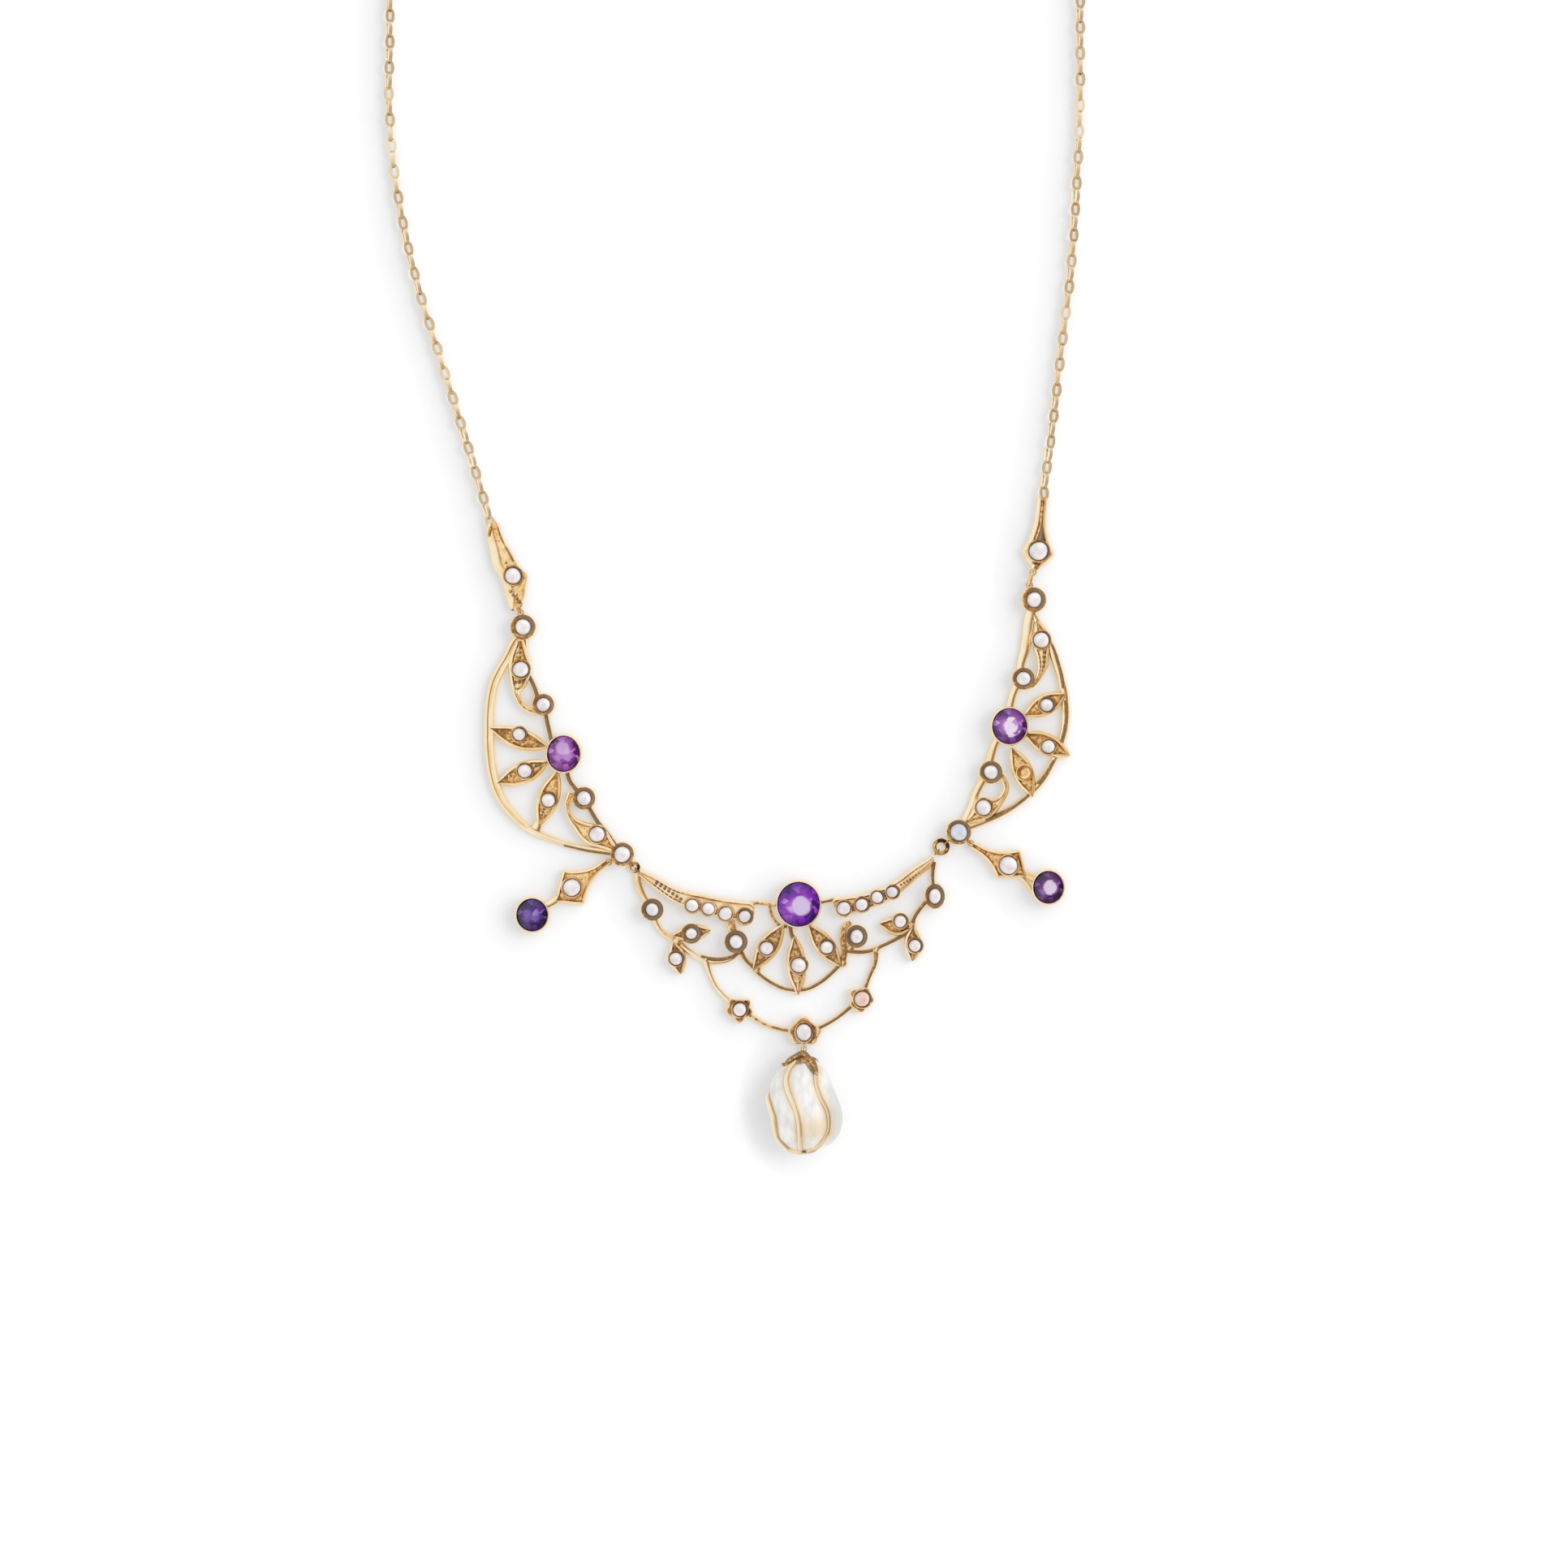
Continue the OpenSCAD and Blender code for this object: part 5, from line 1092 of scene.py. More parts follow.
# Centre panel: festoons, fan, scroll, bars and swag. A wire is how dark its spine is and its route,
# and a star its outline, its middle and its floor's grime, and for one of them its floor and bow.
panel = {
    "wires": [
        (0.1, [[78.5, 107.6, 0.7], [78.6, 108.6, 0.85], [79, 109.8, 0.8], [79.6, 110.9, 0.65],
               [80.2, 111.6, 0.6]]),
        (0.2, [[80.6, 112.6, 0.6], [80.9, 113.8, 0.6], [81.7, 114.9, 0.6], [83.3, 115.8, 0.9]]),
        (0.0, [[83.2, 115.7, 0.9], [84.2, 116.7, 0.75], [85.6, 117.7, 0.7], [87.2, 118.4, 0.6],
               [88.8, 118.5, 0.55], [90.2, 118.1, 0.5], [91.1, 117.1, 0.7]]),
        (0.6, [[91.2, 117, 0.7], [91.9, 118.3, 0.6], [93.2, 119.6, 0.5]]),
        (0.3, [[89.9, 113.6, 1.2], [90.6, 115.4, 1.0]]),
        (0.3, [[92.9, 111.2, 0.6], [94.6, 111.35, 0.55], [96.1, 111.6, 0.5]]),
        (0.5, [[94.8, 111.4, 0.4], [95.1, 112.8, 0.45], [95.9, 113.9, 0.45], [97, 114.2, 0.45]]),
        (0.9, [[97.4, 113.9, 0.6], [97.5, 115, 0.6], [97.9, 116, 0.7]]),
        (0.75, [[92.9, 119.5, 0.5], [94.9, 121, 0.5], [97, 121.9, 0.5], [99.3, 121.9, 0.5],
                [101.4, 120.8, 0.55], [103.4, 119, 0.55]]),
        (0.45, [[103.5, 119, 0.8], [103.95, 118, 0.85], [104.05, 117, 0.8], [103.8, 115.6, 0.85],
               [104.0, 114.3, 0.8], [104.8, 113.65, 0.6]]),
        (0.75, [[103.8, 117, 0.55], [105.2, 117.3, 0.55], [107, 117.2, 0.55], [109, 116.4, 0.55],
                [111, 115.4, 0.55], [112.4, 114.4, 0.9]]),
        (0.3, [[105.2, 116.2, 0.8], [104.6, 117.1, 0.8]]),
        (0.6, [[112.4, 114.5, 0.9], [112.6, 113.2, 0.6], [113.4, 111.9, 0.65],
               [114.5, 110.6, 0.7]]),
        (0.9, [[115, 109.4, 0.55], [114.9, 107.8, 0.55], [115.1, 106.2, 0.6]]),
        (0.6, [[100.6, 111.3, 0.5], [101.6, 111.1, 0.45], [102.9, 110.8, 0.5]]),
        (0.1, [[86.9, 118.1, 0.9], [87.5, 120, 0.5], [88.4, 121.8, 0.5], [90.2, 123.7, 0.6]]),
        (0.4, [[92.2, 125, 0.6], [94.7, 126.4, 0.5], [97.8, 127.1, 0.6]]),
        (0.75, [[100.4, 126.9, 0.6], [103, 125.5, 0.5], [105.2, 123.7, 0.6]]),
        (0.5, [[106.5, 122, 0.6], [107.1, 120.4, 0.5], [107.8, 118.7, 0.65], [107.9, 116.9, 0.9]]),
    ],
    "darkWires": [
        [[86.4, 117.8, 0.3], [88.0, 118.15, 0.4], [89.3, 118.1, 0.42], [90.4, 117.8, 0.42],
         [91.2, 117.2, 0.4]],
    ],
    "leaves": [
        ([83.0, 115.3], [87.6, 114.6], 2.2, 0.0), ([83.0, 116.1], [83.9, 120.0], 2.2, 0.0),
        ([96.6, 113.8], [92.8, 119.5], 2.6, 0.0), ([97.9, 115.2], [98.35, 122.6], 2.5, 0.0),
        ([99.6, 113.9], [103.6, 119.1], 2.5, 0.0), ([112.4, 114.2], [108.4, 113.8], 2.3, 0.1),
        ([112.5, 114.2], [112.4, 118.4], 2.2, 0.0),
    ],
    "grains": [
        ([86.5, 114.8], [86.9, 114.7], 2), ([83.7, 119.3], [83.8, 119.5], 2),
        ([95.3, 115.5], [96.2, 114.4], 4), ([93.3, 118.7], [93.7, 118.1], 3),
        ([98.1, 116.4], [98.2, 117.3], 3), ([98.4, 120.5], [98.4, 121.9], 4),
        ([100.2, 114.6], [100.9, 115.5], 3), ([102.8, 118.1], [103.2, 118.6], 2),
        ([109.3, 113.8], [109.6, 113.7], 2), ([112.5, 117.7], [112.5, 117.9], 2),
        ([80.9, 108.8], [83.9, 110.75], 7, 0.22, 1.05, 0.85),
        ([111.0, 109.0], [113.2, 107.6], 7, 0.15, 0.95, 0.7),
    ],
    "barLook": {"rims": (0.8, 0.7), "height": 1.15, "sink": 0.22},
    "barLeft": [
        [78.9, 107.15, 78.75, 107.9], [79.7, 107.5, 79.5, 108.6], [81.0, 108.15, 80.45, 109.3],
        [83.0, 109.3, 82.2, 110.6], [84.7, 109.85, 84.3, 111.7], [86.6, 110.25, 86.3, 112.35],
        [89.4, 110.8, 89.0, 113.1], [91.6, 111.05, 91.4, 113.45], [92.6, 111.2, 92.5, 113.2],
        [93.0, 111.6, 92.95, 112.6],
    ],
    "barRight": [
        [102.6, 110.9, 102.9, 112.1], [103.0, 110.6, 103.2, 112.6], [104.3, 110.5, 104.5, 112.6],
        [106.6, 110.1, 106.6, 112.15], [108.9, 109.3, 109, 111.15], [110.6, 108.35, 111, 110.0],
        [112.2, 107.15, 113, 108.2], [113.9, 106, 114.4, 107.1], [114.9, 105.45, 115.1, 106],
    ],
    "knobs": [(83.5, 115.9, 0.62, 1.25), (112.3, 114.1, 0.55, 1.15), (103.9, 118.7, 0.5, 1.0),
              (93.3, 119.4, 0.5, 1.0), (108, 117, 0.45, 0.95), (87, 118.2, 0.42, 0.9)],
    "stars": [
        ([[89.8, 122.9], [92.4, 123.0], [92.8, 124.9], [91.05, 126.2], [89.25, 124.7]],
         (91.15, 124.35), 0.75),
        ([[98.95, 125.0], [101.25, 126.85], [100.4, 128.6], [97.75, 128.6], [97.0, 126.85]],
         (99.05, 127.15), 0.55, 1.5, 0.0),
        ([[104.5, 121.8], [106.9, 121.5], [107.8, 123.3], [106.1, 124.9], [104.7, 124.1]],
         (106.2, 123.05), 0.55),
    ],
}
centrePanel = [wire(route, spine) for spine, route in panel["wires"]]
# Dark wires, painted darker as shade
centrePanel += [wire(w, 0.1, 1.25, wireSizes["dark"]) for w in panel["darkWires"]]
centrePanel += [leaf(*row) for row in panel["leaves"]]
centrePanel += [trayBetween(panel[key], floorGrime=grime, **panel["barLook"])
                for key, grime in (("barLeft", 0.1), ("barRight", 0.18))]
centrePanel += [grainRow(*row) for row in panel["grains"]]
centrePanel += [star(*row) for row in panel["stars"]]
centrePanel += [knob(*row) for row in panel["knobs"]]
centrePanel += cupsFor(centrePearls)
centrePanel += [cup(x, y, r, "leaf", dark)
                for rows in barPearls.values() for x, y, r, dark in rows]
centrePanel += [holder(stones["amethyst_centre"])]
for side in ("Left", "Right"):
    ring, tip = loops["ring" + side], loops["panel" + side]
    centrePanel.append(uprightRing(towards(ring, tip, ring[2]), tip, eyeRound(ring),
                                   loops["eyeWire"], ringHeight(ring), grime=0.6))
dropEye = (loops["starEye"][0], loops["starEye"][1] + loops["plainEye"])
centrePanel.append(uprightRing(loops["starEye"], dropEye, loops["plainEye"], loops["eyeWire"],
                               loops["plainHeight"], grime=0.0))
makePiece("centre_panel", "metal", centrePanel, goldRosy)
print("centre panel made")

# Side drops: a kite with a pearl, and a stone in its holder on a short neck
sideDrops = {
    "left": {"kite": ([74.8, 106.2], [69.45, 107.2], [68.5, 111.05], [71.95, 111.4]),
             "necks": [[[69.1, 110.5, 1.0], [68.1, 111.15, 0.9], [67, 111.8, 0.8]]],
             "tie": (74.7, 106.4), "cup": leftPearls[8], "towards": loops["sideLeft"],
             "grains": [([71.7, 108.3], [73.4, 107.2], 5)], "pearl": kitePearls[2]},
    "right": {"kite": ([119.75, 104.1], [125.6, 104.7], [126.4, 108.0], [122.8, 108.1]),
              "necks": [[[125.8, 107.4, 0.9], [126.8, 107.95, 0.85], [127.8, 108.6, 0.8]],
                        [[125.2, 107.5, 0.5], [126.3, 108.6, 0.5], [127.3, 110.1, 0.4]]],
              "tie": (119.85, 104.25), "cup": rightPearls[7], "towards": loops["sideRight"],
              "grains": [([121.3, 105.1], [122.7, 105.9], 4)], "pearl": kitePearls[3]},
}
for side, parts in sideDrops.items():
    hook = towards(parts["cup"][1:3], parts["towards"], sideReach(parts["cup"]) + loops["plainEye"])
    skins = [kite(*parts["kite"], rims=(0.75, 0.75)), holder(stones["amethyst_side_" + side])]
    skins += [wire(w) for w in parts["necks"]] + [grainRow(*g) for g in parts["grains"]]
    skins += cupsFor([parts["pearl"]])
    skins += flatEye(hook, parts["tie"], loops["plainHeight"], loops["flatHole"])
    makePiece("side_drop_" + side, "metal", skins, goldYellow)

# Terminals: the left one is a broad folded stem with a long tail, the right one a slim kite. Each
# has a body, a pearl's cup, some wires and grains, and a link's eye tied to a place on its stem.
terminals = {
    "left": {
        "body": (trayBetween, [[
            [60.0, 64.6, 61.25, 64.4], [60.15, 66, 61.9, 66.3], [60.5, 68, 62.8, 67.8],
            [60.95, 70, 63.85, 69.75], [61.8, 71.2, 64.9, 70.85], [62.15, 72.3, 64.75, 72.2],
            [62.5, 73.6, 64.5, 73.8], [62.95, 75.1, 63.7, 75.2]]]),
        "look": {"rims": (2.2, 1.2), "sink": 0.06, "floorGrime": 0.3, "rimGrime": (0.04, 0.24)},
        "trim": [
            (cup, *kitePearls[0][1:]),
            (wire, [[61.35, 65.0, 0.2], [61.8, 66.4, 0.3], [62.65, 68.0, 0.3],
                    [63.3, 69.2, 0.35]], 0.1, 1.6, 0.55),
            (grainRow, (62.4, 69.4), (62.6, 69.9), 2, 0.24, 0.95, 0.6),
            (wire, [[63.4, 72.35, 0.45], [63.9, 72.5, 0.4], [64.2, 73.2, 0.45]], 0, 1.15, 0.6),
            (grainRow, (63.6, 73.25), (63.6, 73.3), 1, 0.3, 0.95, 0.0),
            (grainRow, (63.2, 75.1), (63.25, 75.15), 1, 0.22, 0.95, 0.8),
            (wire, [[60.6, 64.75, 0.5], [60.45, 65.4, 0.65], [60.35, 66.2, 0.5]], 0, 1.34, 0.4),
            (grainRow, (62.95, 72.9), (64.0, 74.2), 4, 0.3, 0.98, 0.5),
        ],
        "link": loops["linkLeft"], "tie": (63.7, 73.8)},
    "right": {
        "body": (kite, [[128.45, 61.3], [129.85, 68.35], [127.5, 70.45], [125.9, 67.95]]),
        "look": {"neckWidth": 1.15, "flare": 3.2, "rims": (0.9, 1.3)},
        "trim": [
            (wire, [[128.6, 62.6, 0.2], [128.5, 64.0, 0.34], [128.35, 65.4, 0.6],
                    [128.2, 66.6, 1.1]], 0.0, 1.3, 0.95),
            (grainRow, (127.35, 69.5), (127.45, 69.9), 2, 0.3, 0.95, 0.6),
            (cup, *kitePearls[1][1:]),
        ],
        "link": loops["linkRight"], "tie": (127.4, 69.6)},
}
for side, parts in terminals.items():
    shape, places = parts["body"]
    skins = [shape(*places, **parts["look"])]
    skins += [shape(*row) for shape, *row in parts["trim"]]
    skins += linkEye(parts["link"], 0, parts["tie"])
    makePiece("terminal_" + side, "metal", skins, goldYellow)
print("terminals and side drops made")

# Main drop: rows of y, left, right, lowest and highest, as in the part but rounder at the foot
drop = {
    "rows": [
        [129.95, 98.5, 99.3, 1.6, 2.4], [130.3, 97.6, 100.3, 1.1, 3], [131, 96.6, 101, 0.8, 3.8],
        [132, 95.7, 101.8, 0.5, 4.7], [133.5, 95, 102.6, 0.2, 5.7], [135.5, 94.7, 103.4, 0.05, 6.5],
        [137.5, 94.9, 103.8, 0.05, 6.8], [139.3, 95.45, 103.5, 0.2, 6.5],
        [140.3, 95.85, 102.8, 0.6, 5.7], [141, 96.4, 101.9, 1, 4.9],
        [141.4, 96.95, 101.1, 1.4, 4.4], [141.7, 97.75, 100.3, 1.9, 3.9],
        [141.85, 98.6, 99.5, 2.4, 3.3],
    ],
    "wires": [
        [[97.4, 130.6], [95.6, 131.5], [94.4, 132.6], [94.2, 133.6], [94.5, 134.5], [94.95, 136.3],
         [95.35, 137.5], [95.6, 139], [95.95, 140.2], [96.95, 141.25], [97.9, 141.65],
         [98.9, 141.74]],
        [[98.2, 130.6], [97.3, 131.5], [96.85, 132.8], [97.1, 134.25], [97.75, 135.75],
         [98.25, 137.15], [98.5, 138.8], [98.55, 140.8], [98.7, 141.6]],
        [[100.5, 131.2], [100.6, 133.5], [101.2, 135.1], [101.9, 136.45], [102.15, 137.8],
         [102, 139.2], [101.35, 140.4], [100.85, 141], [100.15, 141.5], [99.1, 141.74]],
    ],
    "steps": 6, "sides": 10, "around": 110,
    # Radius and flatness of the three wires, how far they stand out, how deep and broad the valley
    # under them is, and how fast a route past the left edge goes on round the back
    "wireRadius": (0.34, 0.26, 0.28), "flat": (0.9, 0.4, 0.5), "lift": 0.08, "valley": 0.14,
    "reach": 0.9, "round": 4.0, "wireGrime": -0.85,
    # The lumps' height, how far in from the edge they fade, and the lowest point of the body
    "lump": 0.05, "fade": 1.5, "floor": 0.03,
    # The cap's upper edge: place, height and half width along it
    "arch": [[96.75, 131.2, 3, 0.28], [97.3, 130.62, 2.9, 0.38], [98.1, 130.1, 2.8, 0.4],
             [98.9, 129.75, 2.7, 0.42], [99.45, 130.12, 2.9, 0.4], [100, 130.85, 3.45, 0.38],
             [100.35, 131.55, 4.05, 0.35], [100.55, 132.2, 4.55, 0.24]],
    "foot": (99.05, 141.72, 4.0), "footRadius": (0.36, 0.17, 0.32),
    # The stem between cap and eye: places and heights, and its radius
    "stem": [[99, 129.5, 0.55], [99, 129.75, 0.8], [98.95, 129.85, 1.4], [98.9, 129.95, 2.1]],
    "stemRadius": 0.2,
}
# The cap: y of its top and of its edge, lifts of its outer and inner sheet, rows and sides of each,
# grime of the outer one at top and edge and of the inner one, and claws as angle round the drop,
# reach down it and half width in degrees. Its beads are angle and y.
cap = {"top": 129.97, "edge": 130.5, "lifts": (0.22, 0.05), "rows": 10, "around": 120,
       "grime": (0.75, 0.5, 0.8),
       "claws": [(164, 0.6, 20), (56, 1.75, 15), (108, 0.3, 26), (5, -0.42, 24), (250, 1.4, 24),
                 (312, 1.5, 24)],
       "beads": [(56, 130.5), (56, 130.9), (56, 131.3), (56, 131.7), (56, 132.1), (164, 130.5),
                 (164, 130.75), (164, 131)],
       "beadLift": 0.25, "beadRadius": 0.2, "archLift": 0.2, "archRadius": 0.24}
dropCurve = curveThrough(drop["rows"], drop["steps"])


# The drop's left, right, lowest and highest at a sheet y, straight between its rows
def sectionAt(y):
    return [np.interp(y, dropCurve[:, 0], dropCurve[:, c]) for c in range(1, 5)]


# Place on the drop at a sheet y and an angle round its row, moved out by a lift: the middle plus
# half the width by the cosine and half the height by the sine
def onDrop(y, turn, lift=0.0):
    left, right, low, high = sectionAt(y)
    halfX, halfZ = (right - left) / 2, (high - low) / 2
    out = unit(np.stack([np.cos(turn) * halfZ, np.sin(turn) * halfX], -1))
    x = (left + right) / 2 + halfX * np.cos(turn) + out[..., 0] * lift
    z = (low + high) / 2 + halfZ * np.sin(turn) + out[..., 1] * lift
    xy = plan(np.stack([x, y * np.ones_like(x)], -1))
    return np.concatenate([xy, z[..., None]], -1)


# Path of a cage wire over the front of the drop: the angle whose cosine gives the route's x, and
# past the drop's left edge the angle goes on round its back
def overDrop(route, lift):
    line = curveThrough(route, drop["steps"])
    left, right = sectionAt(line[:, 1])[:2]
    share = (2 * line[:, 0] - left - right) / np.maximum(right - left, 0.01)
    turn = np.arccos(np.clip(share, -1, 1)) + drop["round"] * np.maximum(0, -1 - share)
    return onDrop(line[:, 1], turn, lift), onDrop(line[:, 1], turn, lift + 1)


wirePaths = [overDrop(route, drop["lift"]) for route in drop["wires"]]

# Body of the drop: an ellipse at each row, lumpy with two slow waves, and pressed in along the
# wires by a bell curve of the distance to the nearest of them
turns = roundTurns(drop["around"])
rowsY = dropCurve[:, :1]
surface = onDrop(rowsY * np.ones_like(turns), turns * np.ones_like(rowsY))
lines = np.vstack([path for path, above in wirePaths])
gaps = np.linalg.norm(surface[:, :, None] - lines[None, None], axis=-1).min(-1)
bell = np.exp(-(gaps / drop["reach"]) ** 2)
waves = drop["lump"] * (np.sin(3 * turns + rowsY * 1.3) + np.sin(2 * turns - rowsY * 0.9 + 1))
spread = surface - surface.mean(1, keepdims=True)
inside = np.minimum(1, np.linalg.norm(spread, axis=-1, keepdims=True) / drop["fade"])
surface = surface + unit(spread) * (waves - drop["valley"] * bell)[..., None] * inside
surface[..., 2] = np.maximum(surface[..., 2], drop["floor"])
makePiece("drop_body", "nacre", [skin(surface, bell ** 1.5)], baroqueNacre())


# A wire along a path in space: across is square to the path and the outward direction, and along
# the outward direction the section is flattened by a share
def tube(path, above, radius, grime, flat=1.0):
    ahead = unit(np.gradient(path, axis=0))
    out = unit(above - path)
    across = unit(np.cross(ahead, out))
    roll = roundTurns(drop["sides"])[:, None]
    swell = np.reshape(radius * np.ones(len(path)), (-1, 1, 1))
    return skin(path[:, None] + swell * (
        across[:, None] * np.cos(roll) + flat * out[:, None] * np.sin(roll)), grime)


# Small round beads of one radius, or of one for each axis, at places in space
def beadsAt(places, radius, grime):
    ball = ballAt(np.linspace(0.3, np.pi - 0.3, 5)[:, None], roundTurns(8))
    return skin(places[..., None, None, :] + np.array(radius) * ball, grime)


# Places in space from sheet places with heights
def raised(rows):
    rows = np.array(rows, float)
    return np.hstack([plan(rows[:, :2]), rows[:, 2:3]])


cage = [tube(path, above, radius, drop["wireGrime"], flat)
        for (path, above), radius, flat in zip(wirePaths, drop["wireRadius"], drop["flat"])]
arch = curveThrough(drop["arch"], drop["steps"])
archPath = raised(arch)
cage.append(tube(archPath, archPath + (0, 0, 1.0), arch[:, 3], 0.85))
# The cap: an outer and an inner sheet over the drop, from near its top to an edge that reaches
# down in claws, each a bell curve of the angle
turns = roundTurns(cap["around"])
edge = cap["edge"] * np.ones_like(turns)
for angle, reach, width in cap["claws"]:
    away = (turns - math.radians(angle) + np.pi) % (2 * np.pi) - np.pi
    edge += reach * np.exp(-(away / math.radians(width)) ** 2)
capY = cap["top"] + (edge - cap["top"]) * np.linspace(0, 1, cap["rows"])[:, None]
outer, inner = [onDrop(y, turns * np.ones_like(y), lift)
                for y, lift in zip((capY, capY[::-1]), cap["lifts"])]
topGrime, edgeGrime, insideGrime = cap["grime"]
capGrime = np.concatenate([
    np.linspace(topGrime, edgeGrime, cap["rows"]), np.full(cap["rows"], insideGrime)])[:, None]
cage.append(skin(np.concatenate([outer, inner]), capGrime))
beadTurns, beadY = np.array(cap["beads"]).T
cage += [
    beadsAt(onDrop(beadY, np.radians(beadTurns), cap["beadLift"]), cap["beadRadius"], 0.35),
    beadsAt(archPath[3:-2:2] + (0, 0, cap["archLift"]), cap["archRadius"], 0.4),
    beadsAt(raised([drop["foot"]])[0], drop["footRadius"], 0.9)]
cage += flatEye(dropEye, (99, 129.6), loops["plainHeight"], loops["flatHole"], 0.0)
stem = raised(drop["stem"])
cage.append(tube(stem, stem + (1.0, 0, 0), drop["stemRadius"], 0.4))
makePiece("drop_cage", "metal", cage, goldYellow)
print("drop made")

# Trace chain: oval links of round wire, each rolled a quarter turn from the last
chainSizes = {
    "pitch": 1.58, "length": 2.12, "width": 1.5, "wireRadius": 0.31, "around": 12, "section": 4,
    "height": 0.74, "square": 0.85, "steps": 12, "lowest": 0.02,
    # How much of the route has no link, how far the first link's middle is from its end, and the
    # span over which a link's direction is taken
    "bare": 0.6, "inset": 0.4, "span": 0.5,
    # The first link's roll, how far the roll swings and how fast, and how far it strays
    "roll": 0.25, "wobble": 0.2, "slow": 0.37, "stray": 0.18,
    # Strength and sharpness of the grime at a link's front end and its back end, and of the painted
    # shade on a link that stands upright
    "front": (0.75, 5), "back": (0.4, 8), "upper": (0.2, 4),
}
# Each half's own route. Round the back of the neck, past the photograph's edge, the right half
# mirrors the left one.
chainRoutes = {
    "chain_left": [[60.6, 64.6], [60.2, 63.6], [57.3, 54], [54.2, 44], [51.1, 34], [49, 24]],
    "chain_right": [[128.6, 61.2], [128.6, 60], [129.4, 54], [130.6, 44], [131.8, 34], [132.5, 24]],
}
chainBack = np.array([
    [48, 14], [48, 4], [48, -4], [48, -12], [49.5, -22.5], [53.8, -32.8], [60.5, -41.5],
    [69.2, -48.2], [78, -52], [84.6, -53]])


# All links of a chain: one link's middle line is a squared ellipse, its wire a small circle
# round it, and each link is turned to the route's direction and rolled by a quarter turn
def chainLinks(route):
    line = curveThrough(plan(route), chainSizes["steps"])
    steps = np.linalg.norm(np.diff(line, axis=0), axis=1)
    passed = np.concatenate([[0], np.cumsum(steps)])
    count = int(round((passed[-1] - chainSizes["bare"]) / chainSizes["pitch"]))
    link = np.arange(count)
    at = chainSizes["inset"] + link * (passed[-1] - 2 * chainSizes["inset"]) / (count - 1)
    before, centre, after = [
        np.stack([np.interp(at + step, passed, line[:, c]) for c in (0, 1)], 1)
        for step in (-chainSizes["span"], 0, chainSizes["span"])]
    ahead = np.hstack([unit(after - before), np.zeros((count, 1))])
    roll = link * np.pi / 2 + chainSizes["roll"]
    roll += np.sin(link * chainSizes["slow"]) * chainSizes["wobble"]
    roll += chance.uniform(-chainSizes["stray"], chainSizes["stray"], count)
    up = np.array([0, 0, 1.0])
    level = np.cross(up, ahead)
    side = level * np.cos(roll)[:, None] + up * np.sin(roll)[:, None]
    face = np.cross(ahead, side)
    turn = roundTurns(chainSizes["around"])
    wireRadius = chainSizes["wireRadius"]
    middle = np.stack([
        squared(np.cos(turn), chainSizes["square"]) * (chainSizes["length"] / 2 - wireRadius),
        squared(np.sin(turn), chainSizes["square"]) * (chainSizes["width"] / 2 - wireRadius)], 1)
    circle = roundTurns(chainSizes["section"]) + np.pi / 4
    local = np.concatenate([
        middle[:, None] + unit(middle)[:, None] * (np.cos(circle) * wireRadius)[:, None],
        np.broadcast_to(np.sin(circle) * wireRadius, (len(turn), len(circle)))[..., None]], -1)
    points = np.einsum("tsc,ncd->ntsd", local, np.stack([ahead, side, face], 1))
    points[..., :2] += centre[:, None, None]
    points[..., 2] = np.maximum(points[..., 2] + chainSizes["height"], chainSizes["lowest"])
    waves = (np.cos(turn), chainSizes["front"]), (-np.cos(turn), chainSizes["back"])
    ends = [share * np.clip(wave, 0, 1) ** power for wave, (share, power) in waves]
    share, power = chainSizes["upper"]
    # Dark joints at both ends, and painted shade on the links that stand upright
    grime = (ends[0] + ends[1])[None, :, None] + share * np.sin(roll)[:, None, None] ** power
    return skin(points, grime, loop=True)


mirroredBack = chainBack * (-1, 1) + (2 * sheet["middleX"], 0)
for (node, route), back in zip(chainRoutes.items(), (chainBack, mirroredBack)):
    makePiece(node, "links", [chainLinks([*route, *back])], goldChain, crease=80)

# Barrel clasp: rings of a turned profile along x, as distance along it and radius. Both ends are
# alike, and the joint lies between them.
claspSizes = {
    "place": (90.5, -53), "height": 1.3, "around": 32, "grooved": 1.23,
    "end": [(5.1, 0.35), (5.05, 0.8), (4.3, 0.82), (4.2, 0.7), (4.05, 0.72), (3.95, 1.15),
            (3.8, 1.28), (3.0, 1.3), (2.9, 1.22), (2.75, 1.22), (2.65, 1.3)],
    "joint": [(-0.25, 1.3), (-0.15, 1.2), (0.0, 1.18), (0.1, 1.3)],
}
claspEnd = np.array(claspSizes["end"])
profile = np.vstack([claspEnd * (-1, 1), claspSizes["joint"], claspEnd[::-1]])
roll = roundTurns(claspSizes["around"])
claspX, claspY = plan(claspSizes["place"])
points = np.stack([
    claspX + profile[:, :1] * np.ones_like(roll), claspY + profile[:, 1:] * np.cos(roll),
    claspSizes["height"] + profile[:, 1:] * np.sin(roll)], -1)
points[..., 2] = np.maximum(points[..., 2], 0.0)
claspGrime = (profile[:, 1:] < claspSizes["grooved"]) * 0.45 + 0.05
makePiece("clasp", "barrel", [skin(points, claspGrime)], goldChain)
print("chain and clasp made")

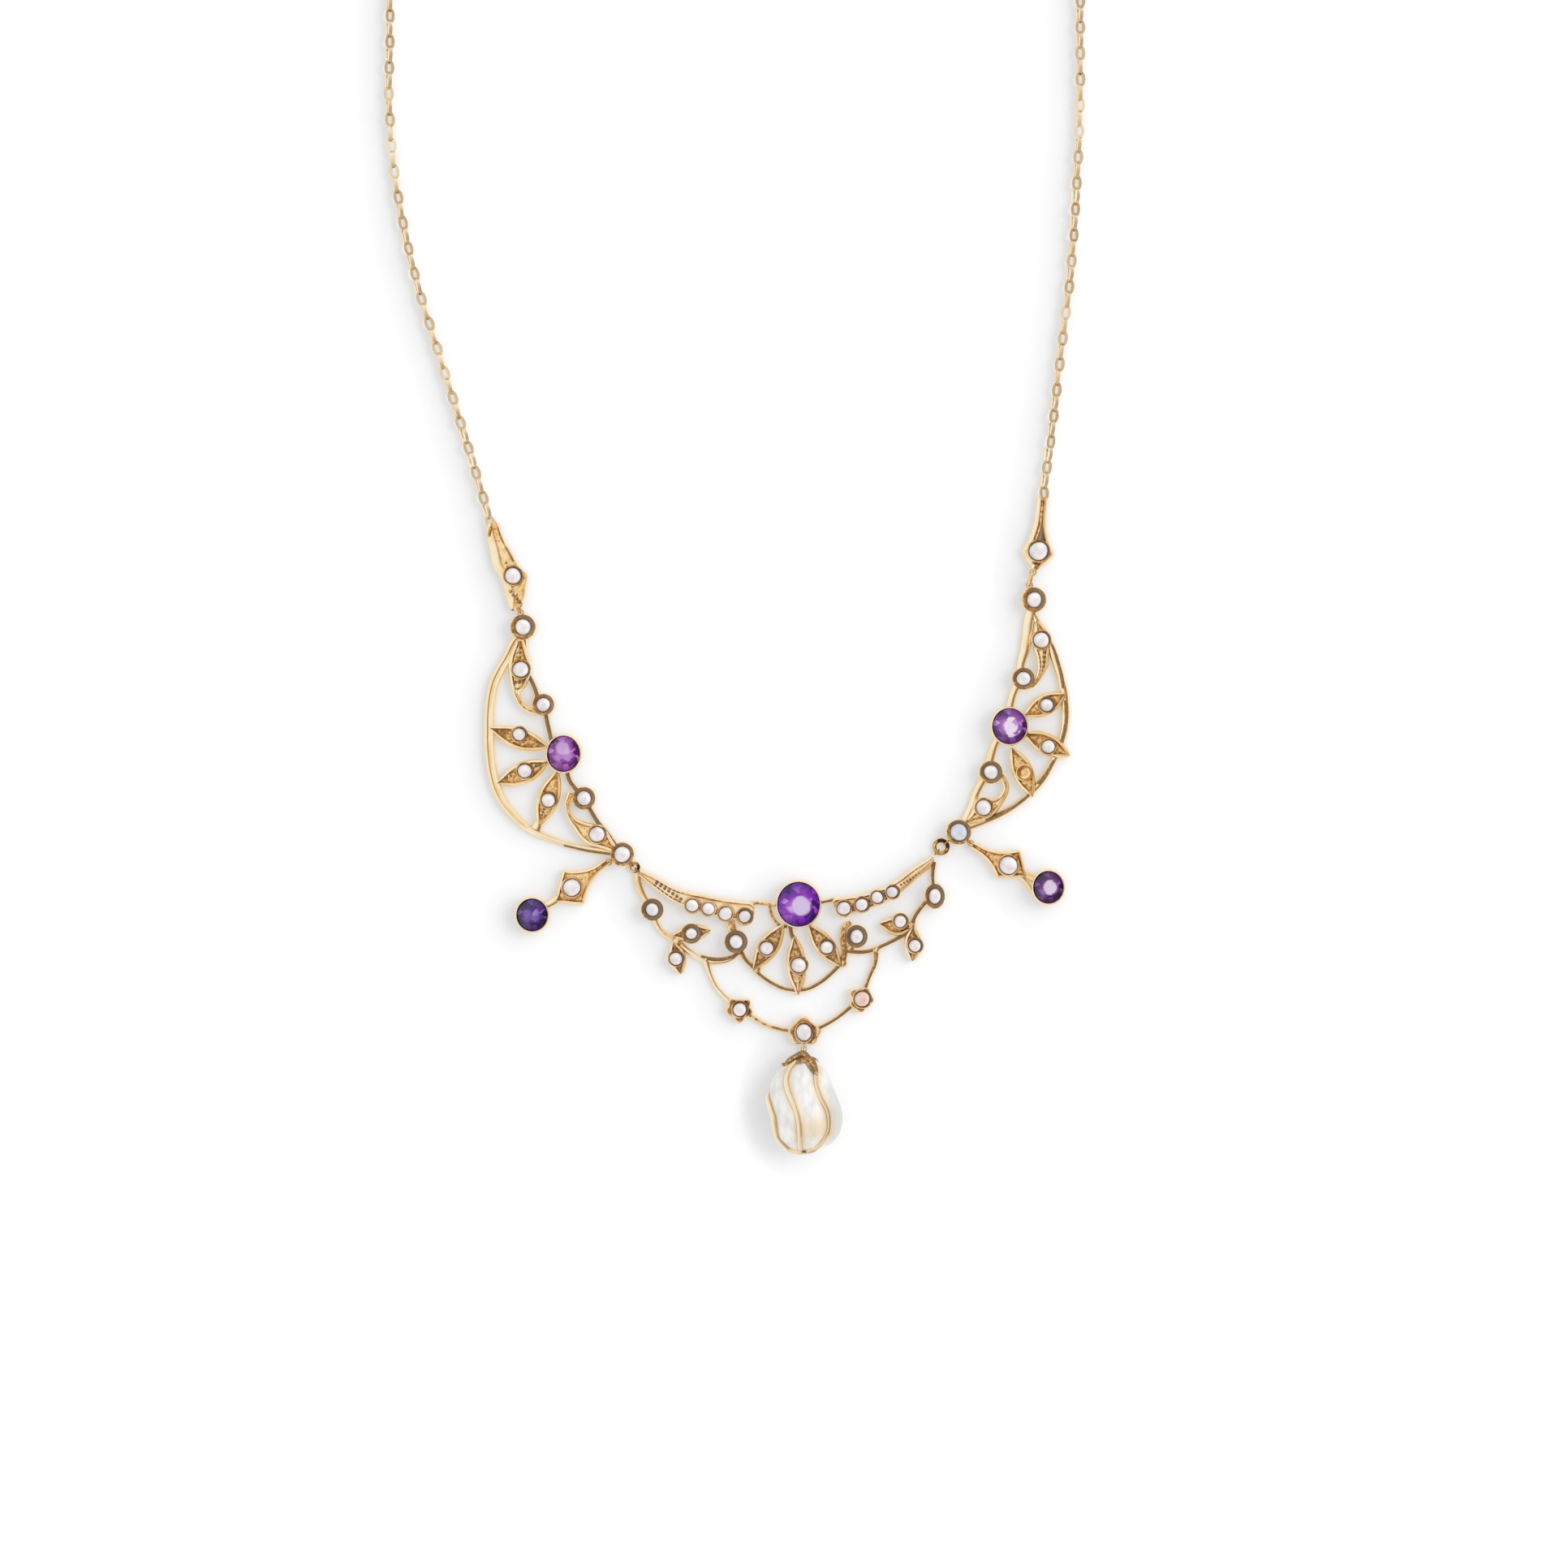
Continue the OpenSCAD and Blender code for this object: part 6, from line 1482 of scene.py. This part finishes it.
# Floor: matt white paper on a light table, whose glow fills most of the shadows. The photograph's
# shadows reach equally far beside low and high parts, so a shadow is painted into the paper's
# colour: it greys by how much of the light that skims in from the right is hidden within a few
# millimetres. Right beside the metal a painted warm reflection tints the paper cream.
shade = {"half": 3, "under": -1e-5, "reach": 4.8, "turn": 12, "rise": 11,
         "tones": [(0.5, "#A3A3A4"), (0.8, "#ACACAD"), (0.97, "#B5B5B5")],
         "bounce": 0.5, "bounceLimits": (1.0, 0.5, 0.0, 0.75), "cream": "#B5A68A",
         "shader": {"Emission Strength": 1.1, "Roughness": 0.9, "Specular IOR Level": 0.1}}
half, under = shade["half"], shade["under"]
floorMesh = bpy.data.meshes.new("paper_floor")
floorMesh.from_pydata([(-half, -half, under), (half, -half, under), (half, half, under),
                       (-half, half, under)], [], [(0, 1, 2, 3)])
floor = bpy.data.objects.new("paper_floor", floorMesh)
bpy.context.scene.collection.objects.link(floor)
paper, paperTree, paperShader = newMaterial("white_paper", shade["shader"])
aside, rise = math.radians(shade["turn"]), math.radians(shade["rise"])
skim = unit(np.array([math.cos(aside), math.sin(aside), math.tan(rise)]))
skim = addNode(paperTree, "CombineXYZ", dict(zip("XYZ", skim))).outputs[0]
# A shadow painted into the paper's colour, by how much of the skimming light is hidden
hidden = addNode(paperTree, "AmbientOcclusion", {
    "Distance": shade["reach"] * sheet["mm"], "Normal": skim}, samples=12).outputs["AO"]
paintedShadeAndBounce = addNode(paperTree, "ValToRGB", {"Fac": hidden},
                    stops=shade["tones"]).outputs["Color"]
# A painted warm reflection of the metal, right beside it
near = addNode(paperTree, "AmbientOcclusion", {"Distance": shade["bounce"] * sheet["mm"]},
               samples=8).outputs["AO"]
near = addNode(paperTree, "MapRange", {
    "Value": near, **limits(shade["bounceLimits"])}).outputs[0]
paintedShadeAndBounce = addNode(paperTree, "Mix", {0: near, 6: paintedShadeAndBounce, 7: linear(shade["cream"])},
                    data_type="RGBA").outputs[2]
fill(paperTree, paperShader, {"Base Color": paintedShadeAndBounce, "Emission Color": paintedShadeAndBounce})
floorMesh.materials.append(paper)

# Soft studio light: an even white room lights everything, a broad sun from the right casts the
# soft shadows, and what mirrors reflect is bright at the left and overhead, and brown low at the
# right, as the photograph's dark slopes show
light = {"fill": 0.9, "mirrored": 0.97, "sun": 0.95, "sunTurn": 14, "sunRise": 50, "sunAngle": 30,
         "darkTurn": -25,
         "room": [(0.0, "#FFFBF4"), (0.4, "#FFFCF4"), (0.52, "#FFF8EC"), (0.58, "#EED4AC"),
                  (0.65, "#C09F74"), (0.72, "#A0825C"), (0.92, "#917250"), (1.0, "#B0957A")]}
world = bpy.data.worlds.new("studio")
world.use_nodes = True
world.cycles.sampling_method = "NONE"
bpy.context.scene.world = world
tree = world.node_tree
way = addNode(tree, "TexCoord").outputs["Generated"]
turn = math.radians(light["darkTurn"])
lateral = addNode(tree, "VectorMath", {0: way, 1: (math.cos(turn), math.sin(turn), 0)},
                  operation="DOT_PRODUCT").outputs["Value"]
share = addNode(tree, "MapRange", {"Value": lateral, **limits((-1.0, 1.0, 0.0, 1.0))}).outputs[0]
mirrored = addNode(tree, "ValToRGB", {"Fac": share}, stops=light["room"]).outputs["Color"]
glossy = addNode(tree, "LightPath").outputs["Is Glossy Ray"]
seen = addNode(tree, "Mix", {0: glossy, 6: linear("#FFFFFF"), 7: mirrored},
               data_type="RGBA").outputs[2]
strength = addNode(tree, "MapRange", {
    "Value": glossy, **limits((0.0, 1.0, light["fill"], light["mirrored"]))}).outputs[0]
fill(tree, tree.nodes["Background"], {"Color": seen, "Strength": strength})
sunData = bpy.data.lights.new("soft_sun", "SUN")
sunData.energy = light["sun"]
sunData.angle = math.radians(light["sunAngle"])
sun = bpy.data.objects.new("soft_sun", sunData)
sun.rotation_euler = (0, math.radians(90 - light["sunRise"]), math.radians(light["sunTurn"]))
sun.visible_glossy = False
bpy.context.scene.collection.objects.link(sun)
bpy.context.scene.view_settings.view_transform = "Standard"

# Camera: straight above, long lens, framed to the photograph's 193.2 mm of the sheet
camera = {"lens": 150, "sensor": 36, "side": 0.1932, "middle": (96.6, 96.6), "clipEnd": 20}
cameraData = bpy.data.cameras.new("camera")
cameraData.lens = camera["lens"]
cameraData.sensor_width = camera["sensor"]
cameraData.clip_end = camera["clipEnd"]
cameraObject = bpy.data.objects.new("camera", cameraData)
x, y = plan(camera["middle"]) * sheet["mm"]
cameraObject.location = (x, y, camera["side"] * camera["lens"] / camera["sensor"])
bpy.context.scene.collection.objects.link(cameraObject)
bpy.context.scene.camera = cameraObject
